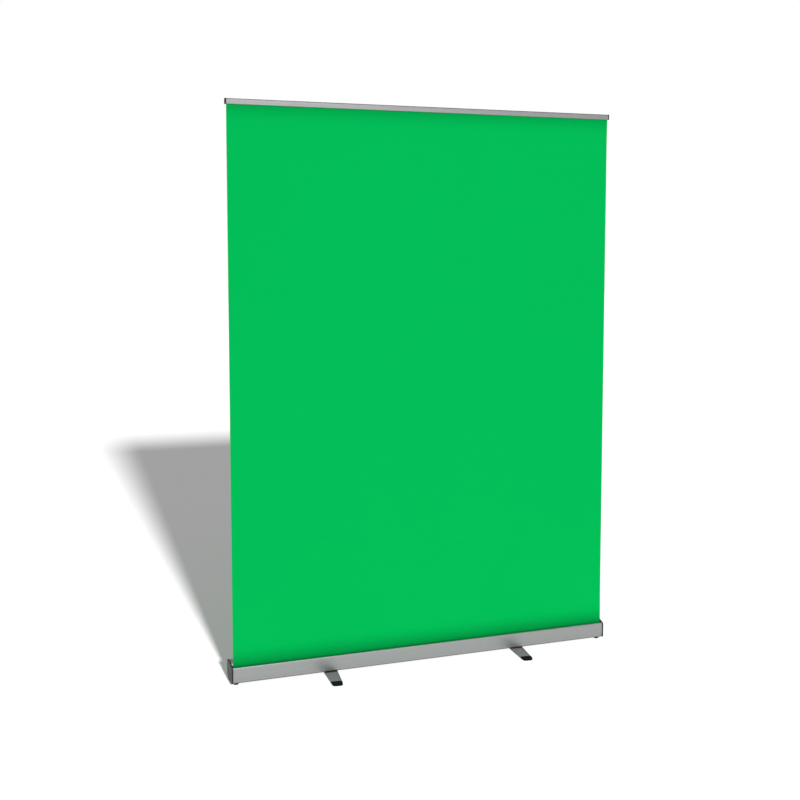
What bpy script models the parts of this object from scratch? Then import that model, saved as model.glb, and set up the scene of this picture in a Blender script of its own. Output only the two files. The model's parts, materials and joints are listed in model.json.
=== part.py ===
"""Roll-up banner stand: a spring roller in an extruded cassette, two telescopic poles and two twist feet.

The frame is in metres. +Z is up, +X is to the right seen from the front, and the front faces -Y. The
origin is on the floor, under the middle of the cassette and midway between the two foot pivots.
"""

import math

import bmesh
import bpy

# ---------------------------------------------------------------- driving sizes, in metres

GAP = 0.0003  # left between pieces that touch, grip or turn in each other
CUT_MARGIN = 0.001  # how far a cutter runs past the face where it starts
CUT_REACH = 0.010  # the length of a cutter that goes right through a wall
SHELL_INWARD = -1  # the cassette's wall grows from its outer path towards the roller

SHEET_WIDTH = 1.500
SHEET_HEIGHT = 2.000  # shown, from the cassette's lip to the rail's lower edge
SHEET_THICKNESS = 0.0005
SHEET_Y = -0.026  # the sheet's plane
SHEET_IN_RAIL = 0.0135  # length held in the rail

BASE_CLEARANCE = 0.009  # floor to the cassette's underside
CASSETTE_DEPTH = 0.080
LIP_HEIGHT = 0.0575  # the front lip above the cassette's underside
LAND_HEIGHT = 0.0695  # the flat land behind the slot above the underside
CASSETTE_WALL = 0.0018
SLOT_BACK_Y = -0.018  # rear edge of the slot
SLOPE_RUN = 0.014  # from the slot's rear edge to the land
SLOPE_RISE = 0.0068
SLOT_NOSE_RUN = 0.0025  # the rounded rear edge of the slot, back and down
SLOT_NOSE_DROP = 0.0028
LIP_RADIUS = 0.004
LIP_HEM = 0.0018
FRONT_BULGE = 0.0004
FRONT_STEP = 0.0008
STEP_HEIGHT = 0.0150  # the front step above the underside
FRONT_LOWER_RADIUS = 0.0052
REAR_LOWER_RADIUS = 0.027
REAR_UPPER_RADIUS = 0.012
END_SLACK = 0.0022  # the extrusion past each edge of the sheet
PORT_RADIUS = 0.0038  # screw ports along the inside corners
PORT_BORE = 0.0019
PORT_BITE = 0.0006  # how far a port sinks into the wall

CAP_THICKNESS = 0.0055
CAP_OVERHANG = 0.0008
CAP_HUB_RADIUS = 0.008
CAP_HUB_LENGTH = 0.0012
CAP_POCKET_DEPTH = 0.0038
CAP_NOSE_ANGLE = 105  # where the cap's slope meets its front corner, in degrees

SCREW_RADIUS = 0.0016
SCREW_HEAD_RADIUS = 0.0032
SCREW_HEAD_HEIGHT = 0.0018
SCREW_DOME = ((0.6, 1.0), (0.92, 0.7), (1.0, 0.3))  # shares of the head's radius and height
CAP_SCREW_LENGTH = 0.014
SOCKET_SCREW_LENGTH = 0.009

TUBE_RADIUS = 0.0185  # roller tube
TUBE_WALL = 0.0012
ROLLER_Z = 0.040
ROLLER_PLUG_LENGTH = 0.018
IDLER_PIN_RADIUS = 0.003
IDLER_PIN_IN_PLUG = 0.0144  # the pin's length inside the roller's end plug
SHAFT_SIDE = 0.0064  # square spring shaft
SHAFT_LENGTH = 0.260
SHAFT_BUSH_LENGTH = 0.012
SPRING_RADIUS = 0.0095
SPRING_WIRE = 0.0007
SPRING_TURNS = 15
SPRING_POINTS_PER_TURN = 10
SPRING_END_CLEARANCE = 0.0012

RAIL_HEIGHT = 0.0170  # from the rail's lower edge to the jaw's pivot
RAIL_END_SLACK = 0.0003  # the extrusion past each edge of the sheet
RAIL_PLATE = 0.0015
RAIL_CHANNEL = 0.0060  # inside width of the rear channel
RAIL_CHANNEL_LIP = 0.0070
RAIL_LIP_WALL = 0.0015
RAIL_ROOF = 0.0016
JAW_PIVOT_FORWARD = 0.0030  # the pivot in front of the sheet
JAW_BEAD = 0.0013
JAW_SOCKET_WALL = 0.0010
JAW_SOCKET_MOUTH = (135, 300)  # the bead socket's open side, in degrees from the rear
JAW_NECK = 0.0010
JAW_NECK_ANGLE = 240
JAW_CHAMFER = 0.0006
JAW_WALL = 0.0012
JAW_FRONT_FORWARD = 0.0065  # the jaw's front face in front of the sheet
JAW_GRIP = 0.0020
JAW_TOP_DROP = 0.0008  # the front plate's top below the pivot
RAIL_CAP_THICKNESS = 0.0040
RAIL_CAP_OVERHANG = 0.0004
RAIL_CAP_CORNER = 0.0016

POLE_X = 0.380  # each pole and each foot from the middle
POLE_Y = 0.010
TOP_TUBE_RADIUS = 0.007
POLE_WALL = 0.0012
TUBE_CLEARANCE = 0.0008  # between one tube's bore and the next tube
TUBE_OVERLAP = 0.060  # of one tube in the next at full height
SOCKET_FLOOR = 0.003
SOCKET_HEIGHT = 0.034
SOCKET_WALL = 0.0020
FLANGE_RIM = 0.0004  # the flange in front of and behind the cup
FLANGE_CORNER = 0.008
FLANGE_SCREW_ROOM = 0.0065  # between the cup and a screw's head
FLANGE_END = 0.008  # from a screw to the flange's end
LOCK_BELOW = 0.022  # twist lock below and above its tube's end
LOCK_ABOVE = 0.016
LOCK_WALL = 0.0045
LOCK_EDGE = 0.0010
LOCK_FOOT_BEVEL = 0.0015
LOCK_NOSE_Z = 0.006  # where the lock's cone ends, above its tube's end
LOCK_CLEARANCE = 0.003  # between locks when the pole is down
BUSH_FLANGE = 0.006
BUSH_PLUG = 0.014
HOOK_CUP_WALL = 0.0032
HOOK_CUP_DEPTH = 0.026
HOOK_CUP_ROOF = 0.003
HOOK_CUP_TOP_DROP = 0.0110  # the cup's top below the rail's channel
HOOK_ARM_HEIGHT = 0.012
HOOK_ARM_DROP = 0.002  # the arm's top below the cup's
HOOK_ARM_INSET = 0.004  # the arm's sides in from the tongue's
HOOK_ARM_RELIEF = 0.001  # the arm's root inside the tongue
HOOK_WIDTH = 0.024
HOOK_TONGUE = 0.0044

FOOT_TURN = -6.0  # how far both feet stand turned from square, in degrees about +Z
FOOT_LENGTH = 0.332
FOOT_MIDDLE_WIDTH = 0.052
FOOT_END_WIDTH = 0.038
FOOT_THICKNESS = 0.0045
FOOT_BAR_FLOOR_GAP = 0.0020
FOOT_RECESS_DEPTH = 0.0010
FOOT_RIM = 0.0040
FOOT_HUB_RADIUS = 0.020  # left flat around the pivot
TIP_LENGTH = 0.031
TIP_HEIGHT = 0.0080
TIP_CORNER = 0.010
TIP_PROUD = 0.0004  # the tip's sides outside the bar's
TIP_EDGE = 0.0008
TONGUE_LENGTH = 0.018
TONGUE_WIDTH = 0.026
TONGUE_RELIEF = 0.0006  # sets the tongue's root back from the bar's end
PIVOT_RADIUS = 0.003
PIVOT_HEAD_RADIUS = 0.008
PIVOT_HEAD_HEIGHT = 0.0017
SPACER_RADIUS = 0.012
NUT_FLATS = 0.010
NUT_HEIGHT = 0.0040
PAD_RADIUS = 0.0095
PAD_TAPER = 0.0012
PAD_TAPER_HEIGHT = 0.0022
PAD_INSET = 0.014  # pad's centre from the extrusion's end
PAD_Y = -0.018

# ---------------------------------------------------------------- sizes that follow

FRONT_Y = -CASSETTE_DEPTH / 2
REAR_Y = CASSETTE_DEPTH / 2
LIP_Z = BASE_CLEARANCE + LIP_HEIGHT
LAND_Z = BASE_CLEARANCE + LAND_HEIGHT
CASSETTE_HALF = SHEET_WIDTH / 2 + END_SLACK
CAP_INNER_X = CASSETTE_HALF + GAP
CAP_OUTER_X = CAP_INNER_X + CAP_THICKNESS
ROLLER_Y = SHEET_Y + TUBE_RADIUS + 3 * SHEET_THICKNESS  # three turns of sheet stay on the tube
ROLL_OUTER = ROLLER_Y - SHEET_Y - SHEET_THICKNESS / 2 - GAP
ROLLER_HALF = SHEET_WIDTH / 2
SHEET_TOP = LIP_Z + SHEET_HEIGHT + SHEET_IN_RAIL
FLOOR_TOP_Z = BASE_CLEARANCE + CASSETTE_WALL

RAIL_Z = LIP_Z + SHEET_HEIGHT
RAIL_HALF = SHEET_WIDTH / 2 + RAIL_END_SLACK
PIVOT_JAW_Y = SHEET_Y - JAW_PIVOT_FORWARD
PIVOT_JAW_Z = RAIL_Z + RAIL_HEIGHT
SOCKET_INNER = JAW_BEAD + GAP
SOCKET_OUTER = SOCKET_INNER + JAW_SOCKET_WALL
RAIL_TOP_Z = PIVOT_JAW_Z + SOCKET_OUTER
PLATE_FRONT_Y = SHEET_Y + SHEET_THICKNESS / 2 + GAP
PLATE_REAR_Y = PLATE_FRONT_Y + RAIL_PLATE
CHANNEL_REAR_Y = PLATE_REAR_Y + RAIL_CHANNEL
RAIL_REAR_Y = CHANNEL_REAR_Y + RAIL_LIP_WALL
CHANNEL_ROOF_Z = RAIL_TOP_Z - RAIL_ROOF
JAW_FRONT_Y = SHEET_Y - JAW_FRONT_FORWARD

MID_TUBE_RADIUS = TOP_TUBE_RADIUS + TUBE_CLEARANCE + POLE_WALL
LOWER_TUBE_RADIUS = MID_TUBE_RADIUS + TUBE_CLEARANCE + POLE_WALL
CUP_RADIUS = LOWER_TUBE_RADIUS + GAP + SOCKET_WALL
FLANGE_WIDTH = 2 * (CUP_RADIUS + FLANGE_RIM)
FLANGE_SCREW_X = CUP_RADIUS + FLANGE_SCREW_ROOM + SCREW_HEAD_RADIUS
FLANGE_LENGTH = 2 * (FLANGE_SCREW_X + FLANGE_END)
POLE_FOOT_Z = LAND_Z + GAP + SOCKET_FLOOR + GAP
HOOK_TOP_Z = CHANNEL_ROOF_Z - GAP
CUP_TOP_Z = CHANNEL_ROOF_Z - HOOK_CUP_TOP_DROP
CUP_BOTTOM_Z = CUP_TOP_Z - HOOK_CUP_ROOF - HOOK_CUP_DEPTH
LOCK_STACK = LOCK_BELOW + LOCK_ABOVE + LOCK_CLEARANCE
JOINT_LENGTH = TUBE_OVERLAP + BUSH_FLANGE + LOCK_STACK + LOCK_ABOVE + 2 * LOCK_CLEARANCE
SECTION_TRAVEL = (CUP_BOTTOM_Z - POLE_FOOT_Z - JOINT_LENGTH) / 3  # each telescopic section's slide
LOWER_TOP_Z = POLE_FOOT_Z + SECTION_TRAVEL + TUBE_OVERLAP + BUSH_FLANGE + LOCK_CLEARANCE
MID_TOP_Z = LOWER_TOP_Z + SECTION_TRAVEL + LOCK_STACK
TOP_TUBE_TOP_Z = CUP_TOP_Z - HOOK_CUP_ROOF - GAP

FOOT_BAR_TOP_Z = FOOT_BAR_FLOOR_GAP + FOOT_THICKNESS
SPACER_THICKNESS = BASE_CLEARANCE - FOOT_BAR_TOP_Z - 2 * GAP
HEAD_RECESS_Z = FOOT_BAR_FLOOR_GAP + PIVOT_HEAD_HEIGHT + 2 * GAP
BAR_HALF = FOOT_LENGTH / 2 - TIP_LENGTH - GAP


# ---------------------------------------------------------------- scene and helpers


def clear_scene():
    """Remove every object of the opened scene."""
    for item in list(bpy.data.objects):
        bpy.data.objects.remove(item)


def new_collection(name):
    """Return a new collection linked to the scene."""
    collection = bpy.data.collections.new(name)
    bpy.context.scene.collection.children.link(collection)
    return collection


def material(name, colour, roughness, metallic):
    """Return a Principled material."""
    finish = bpy.data.materials.new(name)
    finish.use_nodes = True
    shader = finish.node_tree.nodes["Principled BSDF"]
    shader.inputs["Base Color"].default_value = (*colour, 1)
    shader.inputs["Roughness"].default_value = roughness
    shader.inputs["Metallic"].default_value = metallic
    return finish


clear_scene()
PARTS = new_collection("roll_up_banner_stand")
CUTTERS = new_collection("cutters")

ALUMINIUM = material("anodised_aluminium", (0.52, 0.53, 0.54), 0.35, 1)
POLE_METAL = material("pole_aluminium", (0.60, 0.61, 0.62), 0.30, 1)
STEEL = material("zinc_steel", (0.48, 0.48, 0.50), 0.32, 1)
FOOT_METAL = material("foot_steel", (0.22, 0.22, 0.23), 0.45, 1)
CAP_PLASTIC = material("dark_grey_plastic", (0.10, 0.10, 0.11), 0.5, 0)
BLACK_PLASTIC = material("black_plastic", (0.015, 0.015, 0.016), 0.5, 0)
RUBBER = material("black_rubber", (0.02, 0.02, 0.02), 0.8, 0)
FABRIC = material("green_fabric", (0.0, 0.51, 0.09), 0.8, 0)


def shade_round(mesh, angle=35):
    """Shade a mesh smooth, but leave its edges over angle degrees sharp."""
    mesh.shade_smooth()
    mesh.set_sharp_from_angle(angle=math.radians(angle))


def add_object(name, mesh, finish, location=(0, 0, 0), rotation=(0, 0, 0)):
    """Add a named part to the parts collection."""
    part = bpy.data.objects.new(name, mesh)
    part.location = location
    part.rotation_euler = rotation
    PARTS.objects.link(part)
    if finish:
        mesh.materials.append(finish)
    return part


def as_cutter(part):
    """Move an object to the cutters collection and hide it from renders."""
    PARTS.objects.unlink(part)
    CUTTERS.objects.link(part)
    part.hide_render = True
    part.display_type = "WIRE"
    return part


def combine(part, other, operation):
    """Cut other from part, or join other to it, with an exact Boolean."""
    step = part.modifiers.new(f"{operation.lower()}_{other.name}", "BOOLEAN")
    step.operation = operation
    step.solver = "EXACT"
    step.object = as_cutter(other)
    return part


def arc(centre, radius, start, end, steps):
    """Return points on an arc from start to end degrees."""
    angles = [math.radians(start + (end - start) * i / steps) for i in range(steps + 1)]
    return [(centre[0] + radius * math.cos(a), centre[1] + radius * math.sin(a)) for a in angles]


def rounded_rectangle(width, height, radius, steps=4):
    """Return a closed rounded rectangle about the origin, counter-clockwise."""
    x, y = width / 2 - radius, height / 2 - radius
    corners = [((x, y), 0), ((-x, y), 90), ((-x, -y), 180), ((x, -y), 270)]
    return [point for centre, start in corners for point in arc(centre, radius, start, start + 90, steps)]


def plate(name, outline, thickness, finish, location=(0, 0, 0), rotation=(0, 0, 0)):
    """Extrude a flat outline by a thickness, half to each side of its plane, as a mesh."""
    curve = bpy.data.curves.new(name, "CURVE")
    curve.dimensions = "2D"
    curve.fill_mode = "BOTH"
    curve.extrude = thickness / 2
    spline = curve.splines.new("POLY")
    spline.points.add(len(outline) - 1)
    for point, (x, y) in zip(spline.points, outline):
        point.co = (x, y, 0, 1)
    spline.use_cyclic_u = True
    return mesh_of_curve(name, curve, finish, location, rotation)


def mesh_of_curve(name, curve, finish, location, rotation=(0, 0, 0)):
    """Turn a curve into a welded mesh object and remove the curve."""
    guide = bpy.data.objects.new(f"{name}_guide", curve)
    guide.location = location
    guide.rotation_euler = rotation
    PARTS.objects.link(guide)
    bpy.context.view_layer.update()
    graph = bpy.context.evaluated_depsgraph_get()
    mesh = bpy.data.meshes.new_from_object(guide.evaluated_get(graph))
    welded = bmesh.new()
    welded.from_mesh(mesh)
    bmesh.ops.remove_doubles(welded, verts=welded.verts, dist=0.000001)
    if curve.dimensions == "2D":
        bmesh.ops.dissolve_limit(welded, angle_limit=0.001, verts=welded.verts, edges=welded.edges)
    bmesh.ops.recalc_face_normals(welded, faces=welded.faces)
    welded.to_mesh(mesh)
    welded.free()
    mesh.name = name
    part = add_object(name, mesh, finish)
    part.matrix_world = guide.matrix_world.copy()
    bpy.data.objects.remove(guide)
    return part


# An outline's x and y become the object's Y and Z, and its thickness runs along X.
ALONG_X = (math.pi / 2, 0, math.pi / 2)
# A turned profile's axis, drawn along Z, is laid along X.
AXIS_X = (0, math.pi / 2, 0)


def turned(name, profile, closed, finish, location=(0, 0, 0), rotation=(0, 0, 0), segments=24):
    """Turn a (radius, height) profile that runs from top to bottom down its outer side."""
    mesh = bpy.data.meshes.new(name)
    points = [(radius, 0, height) for radius, height in profile]
    edges = [(i, i + 1) for i in range(len(points) - 1)]
    if closed:
        edges.append((len(points) - 1, 0))
    mesh.from_pydata(points, edges, [])
    part = add_object(name, mesh, finish, location, rotation)
    screw = part.modifiers.new("turn", "SCREW")
    screw.steps = segments
    screw.render_steps = segments
    screw.use_merge_vertices = True
    screw.merge_threshold = 0.000001
    screw.use_smooth_shade = True
    return part


def rod(name, radius, length, finish, location=(0, 0, 0), rotation=(0, 0, 0), segments=24):
    """A solid cylinder about its own Z."""
    mesh = bpy.data.meshes.new(name)
    shape = bmesh.new()
    bmesh.ops.create_cone(
        shape, cap_ends=True, segments=segments, radius1=radius, radius2=radius, depth=length
    )
    shape.to_mesh(mesh)
    shape.free()
    shade_round(mesh)
    return add_object(name, mesh, finish, location, rotation)


def block(name, low, high, finish):
    """A box between two corners."""
    mesh = bpy.data.meshes.new(name)
    shape = bmesh.new()
    bmesh.ops.create_cube(shape, size=1)
    size = [b - a for a, b in zip(low, high)]
    bmesh.ops.scale(shape, vec=size, verts=shape.verts)
    shape.to_mesh(mesh)
    shape.free()
    centre = [(a + b) / 2 for a, b in zip(low, high)]
    return add_object(name, mesh, finish, centre)


def soften(part, width, segments=2):
    """Round a part's sharp edges."""
    bevel = part.modifiers.new("soften", "BEVEL")
    bevel.width = width
    bevel.segments = segments
    bevel.limit_method = "ANGLE"
    bevel.angle_limit = math.radians(40)
    return part


def tube_profile(outer, inner, low, high):
    """Return a closed profile of a plain tube."""
    return [(outer, high), (outer, low), (inner, low), (inner, high)]


# ---------------------------------------------------------------- cassette


def cassette_path():
    """Return the cassette's outer path from the slot's rear edge, round the back, to the front lip."""
    slope_top = (SLOT_BACK_Y + SLOPE_RUN, LAND_Z)
    slot_edge = (SLOT_BACK_Y + SLOT_NOSE_RUN, LAND_Z - SLOPE_RISE)
    slot_return = (SLOT_BACK_Y, slot_edge[1] - SLOT_NOSE_DROP)
    upper = (REAR_Y - REAR_UPPER_RADIUS, LAND_Z - REAR_UPPER_RADIUS)
    lower = (REAR_Y - REAR_LOWER_RADIUS, BASE_CLEARANCE + REAR_LOWER_RADIUS)
    skirt_y = FRONT_Y + FRONT_STEP
    front = (skirt_y + FRONT_LOWER_RADIUS, BASE_CLEARANCE + FRONT_LOWER_RADIUS)
    step_z = BASE_CLEARANCE + STEP_HEIGHT
    lip = (FRONT_Y + LIP_RADIUS, LIP_Z - LIP_RADIUS)
    path = [slot_return, slot_edge, slope_top]
    path += arc(upper, REAR_UPPER_RADIUS, 90, 0, 5)
    path += arc(lower, REAR_LOWER_RADIUS, 0, -90, 8)
    path += arc(front, FRONT_LOWER_RADIUS, -90, -180, 4)
    path += [(skirt_y, step_z - FRONT_STEP), (FRONT_Y, step_z)]
    path += [(FRONT_Y - FRONT_BULGE, (step_z + LIP_Z) / 2)]
    path += arc(lip, LIP_RADIUS, 180, 90, 4)
    path += [(lip[0] + LIP_HEM, LIP_Z - LIP_HEM / 2)]
    return path


def corner_port(corner, corner_radius, angle):
    """Return a screw port's centre, tucked into a rounded inside corner."""
    reach = corner_radius - CASSETTE_WALL - PORT_RADIUS + PORT_BITE
    a = math.radians(angle)
    return corner[0] + reach * math.cos(a), corner[1] + reach * math.sin(a)


def port_centres():
    """Return the screw ports' (y, z): low at the front, and high at the rear."""
    inside = FRONT_Y + FRONT_STEP + CASSETTE_WALL + PORT_RADIUS - PORT_BITE
    low_front = (inside, BASE_CLEARANCE + CASSETTE_WALL + PORT_RADIUS - PORT_BITE)
    upper = (REAR_Y - REAR_UPPER_RADIUS, LAND_Z - REAR_UPPER_RADIUS)
    return {"front": low_front, "rear": corner_port(upper, REAR_UPPER_RADIUS, 45)}


def cassette_body():
    """The extruded housing: one wall folded round the roller, with a slot along its top."""
    mesh = bpy.data.meshes.new("cassette_body")
    shell = bmesh.new()
    path = [shell.verts.new((-CASSETTE_HALF, y, z)) for y, z in cassette_path()]
    edges = [shell.edges.new(pair) for pair in zip(path, path[1:])]
    grown = bmesh.ops.extrude_edge_only(shell, edges=edges)["geom"]
    ends = [item for item in grown if isinstance(item, bmesh.types.BMVert)]
    bmesh.ops.translate(shell, vec=(2 * CASSETTE_HALF, 0, 0), verts=ends)
    bmesh.ops.recalc_face_normals(shell, faces=shell.faces)
    shell.to_mesh(mesh)
    shell.free()
    part = add_object("cassette_body", mesh, ALUMINIUM)
    wall = part.modifiers.new("wall", "SOLIDIFY")
    wall.thickness = CASSETTE_WALL
    wall.offset = SHELL_INWARD
    wall.use_even_offset = True
    for side, (y, z) in port_centres().items():
        port = rod(f"port_{side}", PORT_RADIUS, 2 * CASSETTE_HALF, None, (0, y, z), AXIS_X, 16)
        combine(part, port, "UNION")
        reach = 2 * CASSETTE_HALF + CUT_REACH
        bore = rod(f"port_bore_{side}", PORT_BORE, reach, None, (0, y, z), AXIS_X, 12)
        combine(part, bore, "DIFFERENCE")
    for x in (-POLE_X, POLE_X):
        place = (x, 0, BASE_CLEARANCE)
        hole = rod(f"pivot_hole_{x:+.3f}", PIVOT_RADIUS + GAP, CUT_REACH, None, place, segments=16)
        combine(part, hole, "DIFFERENCE")
        for side in (-FLANGE_SCREW_X, FLANGE_SCREW_X):
            place = (x + side, POLE_Y, LAND_Z)
            name = f"socket_hole_{x + side:+.3f}"
            hole = rod(name, SCREW_RADIUS + GAP, CUT_REACH, None, place, segments=12)
            combine(part, hole, "DIFFERENCE")
    return part


def cap_outline():
    """Return an end cap's outline, which closes the slot's end with one slope."""
    out = CAP_OVERHANG
    front = FRONT_Y - out
    low = BASE_CLEARANCE - out
    rear = REAR_Y + out
    top = LAND_Z + out
    foot = FRONT_LOWER_RADIUS
    heel = REAR_LOWER_RADIUS + out
    crown = REAR_UPPER_RADIUS + out
    nose = LIP_RADIUS
    outline = arc((front + foot, low + foot), foot, -180, -90, 4)
    outline += arc((rear - heel, low + heel), heel, -90, 0, 8)
    outline += arc((rear - crown, top - crown), crown, 0, 90, 5)
    outline += [(SLOT_BACK_Y + SLOPE_RUN, top)]
    outline += [(SLOT_BACK_Y, (top + LIP_Z) / 2 + out)]
    outline += arc((front + nose, LIP_Z - nose), nose, CAP_NOSE_ANGLE, 180, 3)
    return outline


def end_cap(side, sign):
    """A moulded cap over one end of the cassette, with a hub that holds the roller's pin or shaft."""
    middle = sign * (CAP_INNER_X + CAP_THICKNESS / 2)
    part = plate(f"end_cap_{side}", cap_outline(), CAP_THICKNESS, CAP_PLASTIC, (middle, 0, 0), ALONG_X)
    hub_length = CAP_HUB_LENGTH + CAP_THICKNESS / 2
    hub_x = sign * (CAP_INNER_X - CAP_HUB_LENGTH + hub_length / 2)
    hub = rod(f"hub_{side}", CAP_HUB_RADIUS, hub_length, None, (hub_x, ROLLER_Y, ROLLER_Z), AXIS_X)
    combine(part, hub, "UNION")
    near = CAP_INNER_X - CAP_HUB_LENGTH - CUT_MARGIN
    far = CAP_INNER_X + CAP_POCKET_DEPTH
    if side == "left":
        radius = IDLER_PIN_RADIUS + GAP
        where = (-(near + far) / 2, ROLLER_Y, ROLLER_Z)
        pocket = rod("pin_pocket", radius, far - near, None, where, AXIS_X, 16)
    else:
        half = SHAFT_SIDE / 2 + GAP
        low = (near, ROLLER_Y - half, ROLLER_Z - half)
        high = (far, ROLLER_Y + half, ROLLER_Z + half)
        pocket = block("shaft_pocket", low, high, None)
    combine(part, pocket, "DIFFERENCE")
    sink_x = sign * (CAP_OUTER_X - SCREW_HEAD_HEIGHT + CUT_REACH / 2)
    for place, (y, z) in port_centres().items():
        where = (middle, y, z)
        name = f"cap_hole_{side}_{place}"
        hole = rod(name, SCREW_RADIUS + GAP, 2 * CUT_REACH, None, where, AXIS_X, 12)
        combine(part, hole, "DIFFERENCE")
        name = f"cap_sink_{side}_{place}"
        sink = rod(name, SCREW_HEAD_RADIUS + GAP, CUT_REACH, None, (sink_x, y, z), AXIS_X, 16)
        combine(part, sink, "DIFFERENCE")
    return part


def screw_profile(length):
    """Return a pan-head screw's profile: head up, seat at height 0, shank down."""
    head = SCREW_HEAD_RADIUS
    dome = [(head * across, SCREW_HEAD_HEIGHT * up) for across, up in SCREW_DOME]
    shank = [(head, GAP), (SCREW_RADIUS, GAP), (SCREW_RADIUS, SCREW_RADIUS - length), (0, -length)]
    return [(0, SCREW_HEAD_HEIGHT)] + dome + shank


def cap_screws(side, sign):
    """Two screws that hold an end cap to the cassette's ports."""
    profile = screw_profile(CAP_SCREW_LENGTH)
    seat_x = sign * (CAP_OUTER_X - SCREW_HEAD_HEIGHT)
    turn = (0, sign * math.pi / 2, 0)
    for place, (y, z) in port_centres().items():
        name = f"end_cap_{side}_screw_{place}"
        turned(name, profile, False, STEEL, (seat_x, y, z), turn, segments=14)


def end_pad(side, sign):
    """A rubber pad under one end of the cassette."""
    height = BASE_CLEARANCE - GAP
    profile = [
        (0, height),
        (PAD_RADIUS, height),
        (PAD_RADIUS, PAD_TAPER_HEIGHT),
        (PAD_RADIUS - PAD_TAPER, 0),
        (0, 0),
    ]
    place = (sign * (CASSETTE_HALF - PAD_INSET), PAD_Y, 0)
    return turned(f"end_pad_{side}", profile, False, RUBBER, place, segments=20)


# ---------------------------------------------------------------- roller


def roller():
    """The tube, its end plugs, the turns of sheet left on it, and the spring drive inside it."""
    centre = (0, ROLLER_Y, ROLLER_Z)
    inner = TUBE_RADIUS - TUBE_WALL
    profile = tube_profile(TUBE_RADIUS, inner, -ROLLER_HALF, ROLLER_HALF)
    turned("roller_tube", profile, True, ALUMINIUM, centre, AXIS_X, 32)
    profile = tube_profile(ROLL_OUTER, TUBE_RADIUS + GAP, -SHEET_WIDTH / 2, SHEET_WIDTH / 2)
    turned("banner_roll", profile, True, FABRIC, centre, AXIS_X, 32)
    bores = {"left": IDLER_PIN_RADIUS + GAP, "right": SHAFT_SIDE / math.sqrt(2) + GAP}
    for side, bore in bores.items():
        sign = -1 if side == "left" else 1
        x = sign * (ROLLER_HALF - ROLLER_PLUG_LENGTH / 2)
        profile = tube_profile(inner - GAP, bore, -ROLLER_PLUG_LENGTH / 2, ROLLER_PLUG_LENGTH / 2)
        turned(f"roller_plug_{side}", profile, True, BLACK_PLASTIC, (x, ROLLER_Y, ROLLER_Z), AXIS_X)


def idler_pin():
    """The pin in the left cap that the roller turns on."""
    outer = CAP_INNER_X + CAP_POCKET_DEPTH - GAP
    inner = ROLLER_HALF - IDLER_PIN_IN_PLUG
    where = (-(outer + inner) / 2, ROLLER_Y, ROLLER_Z)
    return rod("idler_pin", IDLER_PIN_RADIUS, outer - inner, STEEL, where, AXIS_X, 16)


def spring_drive():
    """The fixed shaft in the right cap, the bush on its far end, and the spring wound round it."""
    half = SHAFT_SIDE / 2
    outer = CAP_INNER_X + CAP_POCKET_DEPTH - GAP
    inner = outer - SHAFT_LENGTH
    low = (inner, ROLLER_Y - half, ROLLER_Z - half)
    high = (outer, ROLLER_Y + half, ROLLER_Z + half)
    block("spring_shaft", low, high, STEEL)
    bush_radius = TUBE_RADIUS - TUBE_WALL - GAP
    x = inner + SHAFT_BUSH_LENGTH / 2
    where = (x, ROLLER_Y, ROLLER_Z)
    bush = rod("spring_shaft_bush", bush_radius, SHAFT_BUSH_LENGTH, BLACK_PLASTIC, where, AXIS_X)
    room = half + GAP
    low = (inner - CUT_MARGIN, ROLLER_Y - room, ROLLER_Z - room)
    high = (inner + SHAFT_BUSH_LENGTH + CUT_MARGIN, ROLLER_Y + room, ROLLER_Z + room)
    combine(bush, block("bush_bore", low, high, None), "DIFFERENCE")
    start = inner + SHAFT_BUSH_LENGTH + SPRING_END_CLEARANCE
    end = ROLLER_HALF - ROLLER_PLUG_LENGTH - SPRING_END_CLEARANCE
    curve = bpy.data.curves.new("retraction_spring", "CURVE")
    curve.dimensions = "3D"
    curve.bevel_depth = SPRING_WIRE
    curve.bevel_resolution = 2
    curve.use_fill_caps = True
    spline = curve.splines.new("POLY")
    count = SPRING_TURNS * SPRING_POINTS_PER_TURN + 1
    spline.points.add(count - 1)
    for i, point in enumerate(spline.points):
        share = i / (count - 1)
        angle = 2 * math.pi * SPRING_TURNS * share
        x = start + (end - start) * share
        point.co = (x, SPRING_RADIUS * math.cos(angle), SPRING_RADIUS * math.sin(angle), 1)
    mesh_of_curve("retraction_spring", curve, STEEL, (0, ROLLER_Y, ROLLER_Z))


def banner_sheet():
    """The plain sheet, from where it leaves the roller to where the rail holds it."""
    half = SHEET_THICKNESS / 2
    low = (-SHEET_WIDTH / 2, SHEET_Y - half, ROLLER_Z)
    high = (SHEET_WIDTH / 2, SHEET_Y + half, SHEET_TOP)
    return block("banner_sheet", low, high, FABRIC)


# ---------------------------------------------------------------- top rail


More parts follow.
